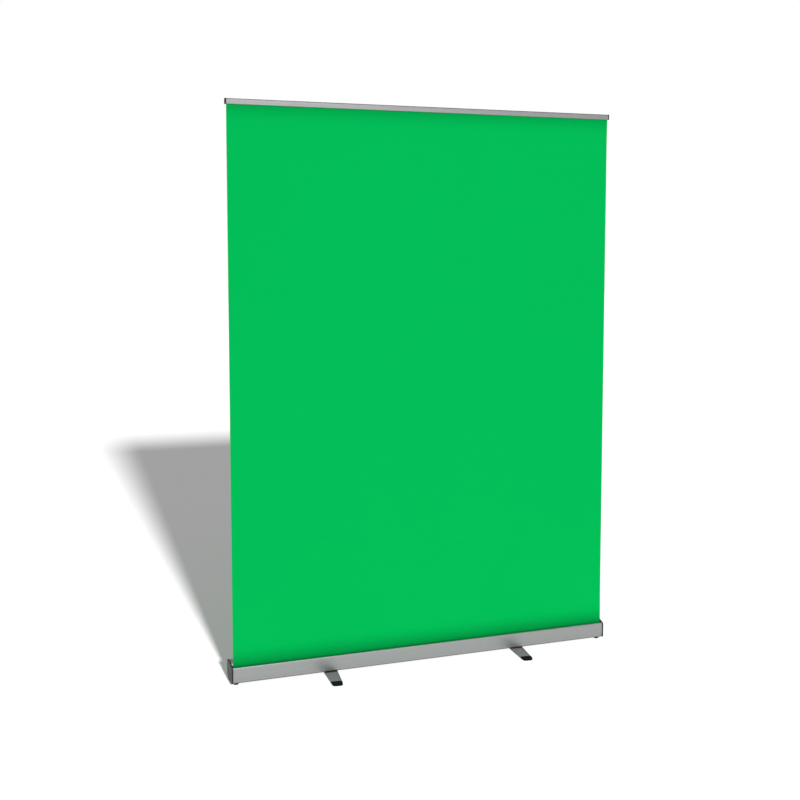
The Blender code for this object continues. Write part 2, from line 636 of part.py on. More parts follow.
def rail_back():
    """The rail's rear extrusion: a plate, a socket for the jaw's bead and a channel for the pole hooks."""
    pivot = (PIVOT_JAW_Y, PIVOT_JAW_Z)
    shelf_z = SHEET_TOP + GAP * 2
    mouth_top, mouth_low = JAW_SOCKET_MOUTH
    wall_y = PIVOT_JAW_Y + SOCKET_OUTER * math.cos(math.radians(mouth_low))
    outline = [(PLATE_FRONT_Y, RAIL_Z), (PLATE_FRONT_Y, shelf_z), (wall_y, shelf_z)]
    outline += arc(pivot, SOCKET_INNER, mouth_low, 360 + mouth_top, 10)
    outline += arc(pivot, SOCKET_OUTER, mouth_top, 90, 3)
    outline += [(RAIL_REAR_Y, RAIL_TOP_Z)]
    outline += [(RAIL_REAR_Y, RAIL_TOP_Z - RAIL_ROOF - RAIL_CHANNEL_LIP)]
    outline += [(CHANNEL_REAR_Y, RAIL_TOP_Z - RAIL_ROOF - RAIL_CHANNEL_LIP)]
    outline += [(CHANNEL_REAR_Y, CHANNEL_ROOF_Z), (PLATE_REAR_Y, CHANNEL_ROOF_Z)]
    outline += [(PLATE_REAR_Y, RAIL_Z)]
    return plate("rail_back", outline[::-1], 2 * RAIL_HALF, ALUMINIUM, rotation=ALONG_X)


def rail_jaw():
    """The rail's front jaw, which turns on a bead along its top edge. Its origin is on the bead's axis."""
    plate_front = JAW_FRONT_Y - PIVOT_JAW_Y
    plate_rear = plate_front + JAW_WALL
    grip_rear = SHEET_Y - SHEET_THICKNESS / 2 - GAP - PIVOT_JAW_Y
    low = -RAIL_HEIGHT
    top = -JAW_TOP_DROP
    neck_angle = math.radians(JAW_NECK_ANGLE)
    side = (JAW_NECK / 2 * math.sin(neck_angle), -JAW_NECK / 2 * math.cos(neck_angle))
    slope = math.sin(neck_angle) / math.cos(neck_angle)
    spread = math.degrees(math.asin(JAW_NECK / 2 / JAW_BEAD))
    upper_z = (plate_rear - side[0]) * slope + side[1]
    lower_z = (plate_rear + side[0]) * slope - side[1]
    outline = arc((0, 0), JAW_BEAD, JAW_NECK_ANGLE + spread, JAW_NECK_ANGLE + 360 - spread, 12)
    outline += [(plate_rear, upper_z), (plate_rear, top), (plate_front + JAW_CHAMFER, top)]
    outline += [(plate_front, top - JAW_CHAMFER), (plate_front, low + JAW_CHAMFER)]
    outline += [(plate_front + JAW_CHAMFER, low)]
    outline += [(grip_rear, low), (grip_rear, low + JAW_GRIP), (plate_rear, low + JAW_GRIP)]
    outline += [(plate_rear, lower_z)]
    place = (0, PIVOT_JAW_Y, PIVOT_JAW_Z)
    return plate("rail_jaw", outline[::-1], 2 * RAIL_HALF, ALUMINIUM, place, ALONG_X)


def rail_cap(side, sign):
    """A moulded cap on one end of the rail."""
    depth = RAIL_REAR_Y - JAW_FRONT_Y + 2 * RAIL_CAP_OVERHANG
    height = RAIL_TOP_Z - RAIL_Z + 2 * RAIL_CAP_OVERHANG
    outline = rounded_rectangle(depth, height, RAIL_CAP_CORNER, 3)
    x = sign * (RAIL_HALF + GAP + RAIL_CAP_THICKNESS / 2)
    place = (x, (RAIL_REAR_Y + JAW_FRONT_Y) / 2, (RAIL_TOP_Z + RAIL_Z) / 2)
    return plate(f"rail_cap_{side}", outline, RAIL_CAP_THICKNESS, CAP_PLASTIC, place, ALONG_X)


# ---------------------------------------------------------------- poles


def pole_socket(side, x):
    """The flanged cup on the cassette's land that a pole stands in."""
    base_z = LAND_Z + GAP
    outline = rounded_rectangle(FLANGE_LENGTH, FLANGE_WIDTH, FLANGE_CORNER, 4)
    middle_z = base_z + SOCKET_FLOOR / 2
    place = (x, POLE_Y, middle_z)
    part = plate(f"pole_{side}_socket", outline, SOCKET_FLOOR, CAP_PLASTIC, place)
    rise = SOCKET_HEIGHT + SOCKET_FLOOR / 2
    cup = rod(f"cup_{side}", CUP_RADIUS, rise, None, (x, POLE_Y, middle_z + rise / 2))
    combine(part, cup, "UNION")
    where = (x, POLE_Y, base_z + SOCKET_FLOOR + (SOCKET_HEIGHT + CUT_MARGIN) / 2)
    bore = rod(f"cup_bore_{side}", LOWER_TUBE_RADIUS + GAP, SOCKET_HEIGHT + CUT_MARGIN, None, where)
    combine(part, bore, "DIFFERENCE")
    for offset in (-FLANGE_SCREW_X, FLANGE_SCREW_X):
        where = (x + offset, POLE_Y, middle_z)
        name = f"flange_hole_{x + offset:+.3f}"
        hole = rod(name, SCREW_RADIUS + GAP, CUT_REACH, None, where, segments=12)
        combine(part, hole, "DIFFERENCE")
    return part


def socket_screws(side, x):
    """Two screws through a socket's flange into the cassette's land."""
    seat_z = LAND_Z + GAP + SOCKET_FLOOR
    profile = screw_profile(SOCKET_SCREW_LENGTH)
    for end, offset in (("left", -FLANGE_SCREW_X), ("right", FLANGE_SCREW_X)):
        name = f"pole_{side}_socket_screw_{end}"
        turned(name, profile, False, STEEL, (x + offset, POLE_Y, seat_z), segments=14)


def pole_tube(name, radius, low, high, x):
    """One telescopic tube."""
    profile = tube_profile(radius, radius - POLE_WALL, low, high)
    return turned(name, profile, True, POLE_METAL, (x, POLE_Y, 0))


def twist_lock(name, outer_tube, inner_tube, top, x):
    """A twist lock over a tube's end that grips the next tube. Its origin is on the pole's axis."""
    grip = outer_tube + LOCK_WALL
    nose = inner_tube + LOCK_WALL
    profile = [
        (nose - LOCK_EDGE, LOCK_ABOVE),
        (nose, LOCK_ABOVE - LOCK_EDGE),
        (nose, LOCK_NOSE_Z),
        (grip, LOCK_EDGE),
        (grip, LOCK_FOOT_BEVEL - LOCK_BELOW),
        (grip - LOCK_FOOT_BEVEL, -LOCK_BELOW),
        (outer_tube + GAP, -LOCK_BELOW),
        (outer_tube + GAP, GAP),
        (inner_tube + GAP, GAP),
        (inner_tube + GAP, LOCK_ABOVE),
    ]
    return turned(name, profile, True, CAP_PLASTIC, (x, POLE_Y, top))


def tube_bush(name, tube, outer_tube, low, x):
    """A plug in a tube's lower end, with a flange that runs in the tube outside it."""
    plug = tube - POLE_WALL - GAP
    flange = outer_tube - POLE_WALL - GAP
    profile = [
        (0, BUSH_PLUG),
        (plug, BUSH_PLUG),
        (plug, -GAP),
        (flange, -GAP),
        (flange, -BUSH_FLANGE),
        (0, -BUSH_FLANGE),
    ]
    return turned(name, profile, False, BLACK_PLASTIC, (x, POLE_Y, low))


def pole_hook(side, x):
    """The head of a pole: a cup over the top tube, and an arm whose tongue stands in the rail's channel."""
    bore = TOP_TUBE_RADIUS + GAP
    height = CUP_TOP_Z - CUP_BOTTOM_Z
    where = (x, POLE_Y, (CUP_TOP_Z + CUP_BOTTOM_Z) / 2)
    part = rod(f"pole_{side}_hook", bore + HOOK_CUP_WALL, height, CAP_PLASTIC, where)
    tongue_rear = (PLATE_REAR_Y + CHANNEL_REAR_Y) / 2 + HOOK_TONGUE / 2
    tongue_front = tongue_rear - HOOK_TONGUE
    arm_high = CUP_TOP_Z - HOOK_ARM_DROP
    arm_low = arm_high - HOOK_ARM_HEIGHT
    low = (x - HOOK_WIDTH / 2, tongue_front, arm_low)
    high = (x + HOOK_WIDTH / 2, tongue_rear, HOOK_TOP_Z)
    combine(part, block(f"tongue_{side}", low, high, None), "UNION")
    arm_half = HOOK_WIDTH / 2 - HOOK_ARM_INSET
    low = (x - arm_half, tongue_front + HOOK_ARM_RELIEF, arm_low + HOOK_ARM_RELIEF)
    high = (x + arm_half, POLE_Y, arm_high)
    combine(part, block(f"arm_{side}", low, high, None), "UNION")
    depth = HOOK_CUP_DEPTH + CUT_MARGIN
    where = (x, POLE_Y, CUP_BOTTOM_Z + HOOK_CUP_DEPTH - depth / 2)
    combine(part, rod(f"hook_bore_{side}", bore, depth, None, where), "DIFFERENCE")
    return part


def pole(side, x):
    """A three-section telescopic pole with its socket, locks, bushes and hook."""
    pole_socket(side, x)
    socket_screws(side, x)
    mid_low = LOWER_TOP_Z - TUBE_OVERLAP
    top_low = MID_TOP_Z - TUBE_OVERLAP
    pole_tube(f"pole_{side}_lower_tube", LOWER_TUBE_RADIUS, POLE_FOOT_Z, LOWER_TOP_Z, x)
    pole_tube(f"pole_{side}_mid_tube", MID_TUBE_RADIUS, mid_low, MID_TOP_Z, x)
    pole_tube(f"pole_{side}_top_tube", TOP_TUBE_RADIUS, top_low, TOP_TUBE_TOP_Z, x)
    twist_lock(f"pole_{side}_lower_lock", LOWER_TUBE_RADIUS, MID_TUBE_RADIUS, LOWER_TOP_Z, x)
    twist_lock(f"pole_{side}_upper_lock", MID_TUBE_RADIUS, TOP_TUBE_RADIUS, MID_TOP_Z, x)
    tube_bush(f"pole_{side}_mid_bush", MID_TUBE_RADIUS, LOWER_TUBE_RADIUS, mid_low, x)
    tube_bush(f"pole_{side}_top_bush", TOP_TUBE_RADIUS, MID_TUBE_RADIUS, top_low, x)
    pole_hook(side, x)


# ---------------------------------------------------------------- feet


def bar_half_width(y):
    """Return a foot bar's half width at a distance from its pivot."""
    share = abs(y) / (FOOT_LENGTH / 2)
    return (FOOT_MIDDLE_WIDTH + (FOOT_END_WIDTH - FOOT_MIDDLE_WIDTH) * share) / 2


def foot_bar(side):
    """The foot's flat bar: tapered both ways, with a tongue at each end. Its origin is on the pivot."""
    end = BAR_HALF
    tongue = end + TONGUE_LENGTH
    wide = bar_half_width(end)
    half = TONGUE_WIDTH / 2
    root = end - TONGUE_RELIEF
    right = [(half, -tongue), (half, -root), (wide, -end), (bar_half_width(0), 0)]
    right += [(wide, end), (half, root), (half, tongue)]
    left = [(-a, b) for a, b in reversed(right)]
    middle_z = FOOT_BAR_FLOOR_GAP + FOOT_THICKNESS / 2
    part = plate(f"foot_{side}_bar", right + left, FOOT_THICKNESS, FOOT_METAL, (0, 0, middle_z))
    for way in (-1, 1):
        near = way * FOOT_HUB_RADIUS
        far = way * (end - FOOT_RIM)
        wide_near = bar_half_width(near) - FOOT_RIM
        wide_far = bar_half_width(far) - FOOT_RIM
        outline = [(-wide_near, near), (wide_near, near), (wide_far, far), (-wide_far, far)]
        place = (0, 0, FOOT_BAR_TOP_Z)
        recess = plate(f"recess_{side}_{way:+d}", outline, 2 * FOOT_RECESS_DEPTH, None, place)
        combine(part, recess, "DIFFERENCE")
    hole = rod(f"bar_hole_{side}", PIVOT_RADIUS + GAP, 2 * CUT_REACH, None, (0, 0, middle_z), segments=16)
    combine(part, hole, "DIFFERENCE")
    where = (0, 0, HEAD_RECESS_Z - CUT_REACH / 2)
    sink = rod(f"bar_sink_{side}", PIVOT_HEAD_RADIUS + GAP, CUT_REACH, None, where)
    combine(part, sink, "DIFFERENCE")
    return part


def foot_tip(side, end, way):
    """The moulded tip on one end of a foot, with a pocket for the bar's tongue."""
    inner = FOOT_LENGTH / 2 - TIP_LENGTH
    outer = FOOT_LENGTH / 2
    narrow = FOOT_END_WIDTH / 2 - TIP_CORNER
    outline = [(bar_half_width(inner) + TIP_PROUD, way * inner)]
    for a, b in arc((narrow, outer - TIP_CORNER), TIP_CORNER, 0, 90, 5):
        outline.append((a, way * b))
    outline += [(-a, b) for a, b in reversed(outline)]
    part = plate(f"foot_{side}_tip_{end}", outline, TIP_HEIGHT, BLACK_PLASTIC, (0, 0, TIP_HEIGHT / 2))
    soften(part, TIP_EDGE, 1)
    half = TONGUE_WIDTH / 2 + GAP
    reach = BAR_HALF + TONGUE_LENGTH + GAP
    ends = sorted((way * (inner - CUT_MARGIN), way * reach))
    low = (-half, ends[0], FOOT_BAR_FLOOR_GAP - GAP)
    high = (half, ends[1], FOOT_BAR_TOP_Z + GAP)
    combine(part, block(f"tip_pocket_{side}_{end}", low, high, None), "DIFFERENCE")
    return part


def foot_pivot(side, x):
    """The pivot: a bolt up through the bar, a spacer washer, and a nut on the cassette's floor."""
    head_top = HEAD_RECESS_Z - GAP
    head_low = head_top - PIVOT_HEAD_HEIGHT
    nut_low = FLOOR_TOP_Z + GAP
    profile = [
        (0, nut_low + NUT_HEIGHT),
        (PIVOT_RADIUS, nut_low + NUT_HEIGHT),
        (PIVOT_RADIUS, head_top),
        (PIVOT_HEAD_RADIUS, head_top),
        (PIVOT_HEAD_RADIUS, head_low),
        (0, head_low),
    ]
    turned(f"foot_{side}_pivot_bolt", profile, False, STEEL, (x, 0, 0), segments=20)
    bore = PIVOT_RADIUS + GAP
    spacer_low = FOOT_BAR_TOP_Z + GAP
    profile = tube_profile(SPACER_RADIUS, bore, spacer_low, spacer_low + SPACER_THICKNESS)
    turned(f"foot_{side}_spacer", profile, True, BLACK_PLASTIC, (x, 0, 0), segments=20)
    flat_bore = bore / math.cos(math.pi / 6)  # so that the six-sided bore clears the bolt
    profile = tube_profile(NUT_FLATS / math.sqrt(3), flat_bore, nut_low, nut_low + NUT_HEIGHT)
    turned(f"foot_{side}_nut", profile, True, STEEL, (x, 0, 0), segments=6)


def foot(side, x):
    """A twist foot: a bar and two tips that turn together, and their pivot."""
    turn = bpy.data.objects.new(f"foot_{side}_turn", None)
    turn.location = (x, 0, 0)
    turn.rotation_euler = (0, 0, math.radians(FOOT_TURN))
    PARTS.objects.link(turn)
    for part in (foot_bar(side), foot_tip(side, "front", -1), foot_tip(side, "back", 1)):
        part.parent = turn
        for step in part.modifiers:
            if step.type == "BOOLEAN":
                step.object.parent = turn
    foot_pivot(side, x)


# ---------------------------------------------------------------- the stand

cassette_body()
roller()
idler_pin()
spring_drive()
banner_sheet()
rail_back()
rail_jaw()
for side, sign in (("left", -1), ("right", 1)):
    end_cap(side, sign)
    cap_screws(side, sign)
    end_pad(side, sign)
    rail_cap(side, sign)
    pole(side, sign * POLE_X)
    foot(side, sign * POLE_X)
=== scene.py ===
"""Finishes and fine meshes for the roll-up banner stand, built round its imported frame.

The stand is a spring roller in an extruded cassette, with a plain green sheet, a clamping top rail,
two telescopic poles and two twist feet. Each class below makes the pieces of one sub-assembly, and
takes their places from the frame.
"""

from __future__ import annotations

import json
import logging
import math
from dataclasses import dataclass
from enum import Enum
from typing import NamedTuple

import bmesh
import bpy
from mathutils import Matrix, Vector

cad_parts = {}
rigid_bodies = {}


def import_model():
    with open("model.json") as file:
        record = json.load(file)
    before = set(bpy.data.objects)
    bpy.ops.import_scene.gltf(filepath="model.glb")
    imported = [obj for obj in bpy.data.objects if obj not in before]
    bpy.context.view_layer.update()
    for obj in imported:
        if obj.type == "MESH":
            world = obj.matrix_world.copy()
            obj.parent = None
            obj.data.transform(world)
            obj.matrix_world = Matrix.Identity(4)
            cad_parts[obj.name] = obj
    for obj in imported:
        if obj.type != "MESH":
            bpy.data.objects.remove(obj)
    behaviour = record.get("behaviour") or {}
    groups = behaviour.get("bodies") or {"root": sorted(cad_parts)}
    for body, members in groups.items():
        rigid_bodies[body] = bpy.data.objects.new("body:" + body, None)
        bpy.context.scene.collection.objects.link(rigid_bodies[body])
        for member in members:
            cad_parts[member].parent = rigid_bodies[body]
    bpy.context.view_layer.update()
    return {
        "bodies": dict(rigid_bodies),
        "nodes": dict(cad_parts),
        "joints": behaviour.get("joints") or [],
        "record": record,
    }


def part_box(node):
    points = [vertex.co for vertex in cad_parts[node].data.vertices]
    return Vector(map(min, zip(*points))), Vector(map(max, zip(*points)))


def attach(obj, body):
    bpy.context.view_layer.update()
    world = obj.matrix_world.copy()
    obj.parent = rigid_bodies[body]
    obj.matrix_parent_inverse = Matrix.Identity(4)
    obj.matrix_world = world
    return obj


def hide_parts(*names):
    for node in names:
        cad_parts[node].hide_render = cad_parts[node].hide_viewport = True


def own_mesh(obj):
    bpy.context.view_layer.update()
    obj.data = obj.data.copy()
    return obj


LOG = logging.getLogger("banner_stand")
WELD = 0.000005  # points of a frame node nearer than this, in metres, are one point
SEAM = 0.000001  # the same where a turned form closes on itself
FLAT = 0.5  # facets that meet at less than this, in degrees, are one flat face
ROUNDED_OVER = 35.0  # edges sharper than this, in degrees, are rounded
NOISE_RANGE = (0.3, 0.7)  # most of a noise value lies between these
MIX_COLOURS, MIX_RESULT = (6, 7), 2  # the Mix node's colour sockets

Triple = tuple[float, float, float]
Colour = Triple
Point = tuple[float, float]


class Slot(str, Enum):
    """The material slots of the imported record."""

    ALUMINIUM = "anodised_aluminium"
    POLE = "pole_aluminium"
    FOOT = "foot_metal"
    STEEL = "zinc_steel"
    GREY_PLASTIC = "dark_grey_plastic"
    BLACK_PLASTIC = "black_plastic"
    RUBBER = "rubber"
    FABRIC = "green_fabric"


class Side(Enum):
    """The two ends of the stand, seen from the front."""

    LEFT = -1
    RIGHT = 1

    @property
    def word(self) -> str:
        """Return the side's name as the nodes spell it."""
        return self.name.lower()


class Tube(Enum):
    """The tubes of a pole, from the outermost in."""

    LOWER = "lower"
    MID = "mid"
    TOP = "top"


class Lock(Enum):
    """The twist locks of a pole, each with the tube that it turns on and the tube that it grips."""

    LOWER = (Tube.LOWER, Tube.MID)
    UPPER = (Tube.MID, Tube.TOP)

    @property
    def word(self) -> str:
        """Return the lock's name as the nodes spell it."""
        return self.name.lower()


class LitSide(Enum):
    """What a distant light falls on, as the floor's link to it."""

    FLOOR = "INCLUDE"
    STAND = "EXCLUDE"


# ---------------------------------------------------------------- finishes


class Graph:
    """A material's node tree, with short calls to add and join nodes."""

    def __init__(self, name: str) -> None:
        """Start a material with only its Principled shader and output.

        Args:
            name: The material's name.
        """
        self.material = bpy.data.materials.new(name)
        self.material.use_nodes = True
        self.tree = self.material.node_tree
        self.shader = self.tree.nodes["Principled BSDF"]
        self.place = self.add("ShaderNodeTexCoord").outputs["Object"]

    def add(self, kind: str, **settings: object) -> bpy.types.Node:
        """Add a node and set its own properties.

        Args:
            kind: The node's type name.
            settings: Properties of the node, by name.

        Returns:
            The new node.
        """
        node = self.tree.nodes.new(kind)
        for key, value in settings.items():
            setattr(node, key, value)
        return node

    def feed(self, socket: bpy.types.NodeSocket, value: object) -> None:
        """Link an output to a socket, or set the socket's value.

        Args:
            socket: The input socket.
            value: An output socket, or a plain value.
        """
        if isinstance(value, bpy.types.NodeSocket):
            self.tree.links.new(value, socket)
        else:
            socket.default_value = value

    def stretched(self, scale: Triple) -> bpy.types.NodeSocket:
        """Return the piece's own coordinates scaled by a factor along each axis.

        Args:
            scale: The factors along X, Y and Z.

        Returns:
            The scaled coordinates.
        """
        mapping = self.add("ShaderNodeMapping")
        self.feed(mapping.inputs["Vector"], self.place)
        mapping.inputs["Scale"].default_value = scale
        return mapping.outputs["Vector"]

    def noise(self, scale: Triple, detail: float = 3.0, roughness: float = 0.55) -> bpy.types.NodeSocket:
        """Return a noise value between 0 and 1.

        Args:
            scale: Features per metre along X, Y and Z.
            detail: The noise's octaves.
            roughness: How strong the finer octaves are.

        Returns:
            The noise's factor.
        """
        noise = self.add("ShaderNodeTexNoise")
        self.feed(noise.inputs["Vector"], self.stretched(scale))
        noise.inputs["Scale"].default_value = 1.0
        noise.inputs["Detail"].default_value = detail
        noise.inputs["Roughness"].default_value = roughness
        return noise.outputs["Fac"]

    def mapped(
        self, value: bpy.types.NodeSocket, ends: Point, results: Point, **settings: object
    ) -> bpy.types.NodeSocket:
        """Return a value carried from one range to another, and held at its ends.

        Args:
            value: The value.
            ends: The range that it comes from.
            results: The results at those ends.
            settings: Properties of the node, by name.

        Returns:
            The result.
        """
        node = self.add("ShaderNodeMapRange", **settings)
        self.feed(node.inputs["Value"], value)
        for key, number in zip(("From Min", "From Max", "To Min", "To Max"), (*ends, *results)):
            node.inputs[key].default_value = number
        return node.outputs["Result"]

    def span(self, value: bpy.types.NodeSocket, low: float, high: float) -> bpy.types.NodeSocket:
        """Return a noise value spread over a range.

        Args:
            value: A noise value.
            low: The result at the low end of its usual range.
            high: The result at the high end.

        Returns:
            The value in its new range.
        """
        return self.mapped(value, NOISE_RANGE, (low, high))

    def ramp(self, value: bpy.types.NodeSocket, ends: Point, shades: Point) -> bpy.types.NodeSocket:
        """Return a smooth change of shade from one place to another.

        Args:
            value: The place.
            ends: The places where the change starts and ends.
            shades: The shades there.

        Returns:
            The shade.
        """
        return self.mapped(value, ends, shades, interpolation_type="SMOOTHSTEP")

    def axes(self, source: bpy.types.NodeSocket) -> dict[str, bpy.types.NodeSocket]:
        """Return coordinates along each axis.

        Args:
            source: The coordinates.

        Returns:
            The coordinates along X, Y and Z, by letter.
        """
        parts = self.add("ShaderNodeSeparateXYZ")
        self.feed(parts.inputs[0], source)
        return {letter: parts.outputs[letter] for letter in "XYZ"}

    def maths(self, operation: str, first: object, second: object = 0.0) -> bpy.types.NodeSocket:
        """Return the result of a maths node.

        Args:
            operation: The node's operation.
            first: A value or an output.
            second: A value or an output.

        Returns:
            The result.
        """
        node = self.add("ShaderNodeMath", operation=operation)
        self.feed(node.inputs[0], first)
        self.feed(node.inputs[1], second)
        return node.outputs[0]

    def shaded(self, colour: Colour, factor: bpy.types.NodeSocket) -> bpy.types.NodeSocket:
        """Return a colour multiplied by a factor.

        Args:
            colour: The colour.
            factor: The factor, 1 for no change.

        Returns:
            The multiplied colour.
        """
        grey = self.add("ShaderNodeCombineColor")
        for key in ("Red", "Green", "Blue"):
            self.feed(grey.inputs[key], factor)
        mix = self.add("ShaderNodeMix", data_type="RGBA", blend_type="MULTIPLY")
        mix.inputs["Factor"].default_value = 1.0
        first, second = (mix.inputs[index] for index in MIX_COLOURS)
        first.default_value = (*colour, 1.0)
        self.feed(second, grey.outputs["Color"])
        return mix.outputs[MIX_RESULT]

    def bump(self, height: bpy.types.NodeSocket, strength: float, distance: float) -> None:
        """Give the shader a bump.

        Args:
            height: The height, between 0 and 1.
            strength: The bump's strength.
            distance: The height of a full step, in metres.
        """
        bump = self.add("ShaderNodeBump")
        bump.inputs["Strength"].default_value = strength
        bump.inputs["Distance"].default_value = distance
        self.feed(bump.inputs["Height"], height)
        self.feed(self.shader.inputs["Normal"], bump.outputs["Normal"])


@dataclass(frozen=True)
class Finish:
    """A surface finish. Its build method makes the material.

    Attributes:
        name: The material's name.
        colour: The base colour, linear.
        roughness: The mean roughness.
        gloss: The strength of its mirror share, 0.5 for plain glass or lacquer.
    """

    name: str
    colour: Colour
    roughness: float
    gloss: float

    def around(
        self, graph: Graph, value: bpy.types.NodeSocket, under: float, over: float
    ) -> bpy.types.NodeSocket:
        """Return a roughness that a noise value moves about the mean.

        Args:
            graph: The material's node tree.
            value: The noise value.
            under: How far below the mean it goes.
            over: How far above the mean it goes.

        Returns:
            The roughness.
        """
        return graph.span(value, self.roughness - under, self.roughness + over)

    def coat(
        self, graph: Graph, shade: bpy.types.NodeSocket, rough: bpy.types.NodeSocket
    ) -> bpy.types.Material:
        """Feed the shader's colour, roughness and gloss.

        Args:
            graph: The material's node tree.
            shade: The factor on the colour.
            rough: The roughness.

        Returns:
            The material.
        """
        graph.feed(graph.shader.inputs["Base Color"], graph.shaded(self.colour, shade))
        graph.feed(graph.shader.inputs["Roughness"], rough)
        graph.feed(graph.shader.inputs["Specular IOR Level"], self.gloss)
        return graph.material

    def build(self) -> bpy.types.Material:
        """Return the finish as a material."""
        raise NotImplementedError


@dataclass(frozen=True)
class DrawnMetal(Finish):
    """Satin anodised metal with the fine die lines of an extrusion or a drawn tube.

    Attributes:
        lines: Line features per metre along X, Y and Z: few along the draw, many across it.
        contrast: How far the lines vary the colour.
        film: Features per metre of the anodised film's faint clouds.
        film_contrast: How far the clouds vary the colour.
        dust_line: The heights in metres between which a painted shade along the bottom edge fades out.
        dust_shade: The colour's share left in that painted shade at the bottom.
        depth: The lines' depth, in metres.
    """

    lines: Triple = (1.2, 900.0, 900.0)
    contrast: float = 0.05
    film: float = 5.0
    film_contrast: float = 0.015
    dust_line: Point = (0.0, 0.001)
    dust_shade: float = 1.0
    depth: float = 0.00003

    def build(self) -> bpy.types.Material:
        """Return the finish as a material."""
        graph = Graph(self.name)
        lines = graph.noise(self.lines, 4.0, 0.6)
        film = graph.noise((self.film,) * 3, 4.0)
        streaks = graph.span(lines, 1 - self.contrast, 1 + self.contrast)
        clouds = graph.span(film, 1 - self.film_contrast, 1 + self.film_contrast)
        # painted shade: the colour darkens over the bottom few millimetres, in place of the shadow under
        # the lower edge
        bottom_shade = graph.ramp(graph.axes(graph.place)["Z"], self.dust_line, (self.dust_shade, 1.0))
        shade = graph.maths("MULTIPLY", graph.maths("MULTIPLY", streaks, clouds), bottom_shade)
        rough = graph.maths("ADD", self.around(graph, lines, 0.05, 0.06), graph.span(film, -0.02, 0.03))
        graph.feed(graph.shader.inputs["Metallic"], 1.0)
        graph.bump(lines, 0.12, self.depth)
        return self.coat(graph, shade, rough)


@dataclass(frozen=True)
class WovenPolyester(Finish):
    """Matt woven polyester with a plain weave, faint slubs and a painted shade under the rail and towards
    the slot.

    Attributes:
        thread: The width of a thread, in metres.
        slubs: Features per metre of the thicker threads that run across.
        clouds: Features per metre of the dye's faint clouds.
        slot_shade: The colour's share left at the slot, a painted shade where the cloth enters it.
        slot_fade: The shares of the height where that shade starts to lift and ends.
        rail_shade: The colour's share left under the rail, a painted shadow of the rail.
        rail_fade: The shares of the height where that shade starts and is full.
    """

    thread: float = 0.0005
    slubs: Triple = (4.0, 4.0, 700.0)
    clouds: Triple = (2.0, 2.0, 1.2)
    slot_shade: float = 0.65
    slot_fade: Point = (0.010, 0.050)
    rail_shade: float = 0.86
    rail_fade: Point = (0.962, 0.994)

    def weave(self, graph: Graph) -> bpy.types.NodeSocket:
        """Return the weave's height: threads that pass over and under each other.

        Args:
            graph: The material's node tree.

        Returns:
            The height between 0 and 1.
        """
        rate = math.pi / self.thread
        axes = graph.axes(graph.place)
        across = graph.maths("SINE", graph.maths("MULTIPLY", axes["X"], rate))
        along = graph.maths("SINE", graph.maths("MULTIPLY", axes["Z"], rate))
        over = graph.maths("MULTIPLY", across, along)
        return graph.mapped(over, (-1.0, 1.0), (0.0, 1.0))

    def build(self) -> bpy.types.Material:
        """Return the finish as a material."""
        graph = Graph(self.name)
        share = graph.axes(graph.add("ShaderNodeTexCoord").outputs["Generated"])["Z"]
        # painted shade: darker towards the slot and under the rail, in place of their shadows
        low = graph.ramp(share, self.slot_fade, (self.slot_shade, 1.0))
        high = graph.ramp(share, self.rail_fade, (1.0, self.rail_shade))
        slubs = graph.span(graph.noise(self.slubs, 3.0), 0.985, 1.015)
        clouds = graph.span(graph.noise(self.clouds, 2.0), 0.99, 1.01)
        ends = graph.maths("MULTIPLY", low, high)
        shade = graph.maths("MULTIPLY", ends, graph.maths("MULTIPLY", slubs, clouds))
        height = self.weave(graph)
        graph.bump(height, 0.25, self.thread * 0.25)
        return self.coat(graph, shade, self.around(graph, height, 0.06, 0.04))


@dataclass(frozen=True)
class Moulded(Finish):
    """Moulded plastic or rubber with a fine spark texture and rubbed, slightly lighter patches.

    Attributes:
        grain: Texture features per metre.
        depth: The texture's depth, in metres.
        contrast: How far rubbing varies the colour.
        patches: Rubbed patches per metre.
    """

    grain: float = 1600.0
    depth: float = 0.00005
    contrast: float = 0.12
    patches: float = 38.0

    def build(self) -> bpy.types.Material:
        """Return the finish as a material."""
        graph = Graph(self.name)
        texture = graph.noise((self.grain,) * 3, 2.0)
        rubbed = graph.noise((self.patches,) * 3, 5.0, 0.6)
        shade = graph.span(rubbed, 1 - self.contrast, 1 + self.contrast)
        polish = graph.span(rubbed, self.roughness + 0.05, self.roughness - 0.06)
        rough = graph.maths("ADD", polish, graph.span(texture, -0.03, 0.03))
        graph.bump(texture, 0.35, self.depth)
        return self.coat(graph, shade, rough)


@dataclass(frozen=True)
class Plated(Finish):
    """Zinc-plated steel: bright, with a faint crystalline mottle.

    Attributes:
        crystals: Mottle features per metre.
        depth: The mottle's depth, in metres.
    """

    crystals: float = 420.0
    depth: float = 0.00002

    def build(self) -> bpy.types.Material:
        """Return the finish as a material."""
        graph = Graph(self.name)
        mottle = graph.noise((self.crystals,) * 3, 3.0)
        graph.feed(graph.shader.inputs["Metallic"], 1.0)
        graph.bump(mottle, 0.1, self.depth)
        return self.coat(graph, graph.span(mottle, 0.92, 1.06), self.around(graph, mottle, 0.06, 0.08))


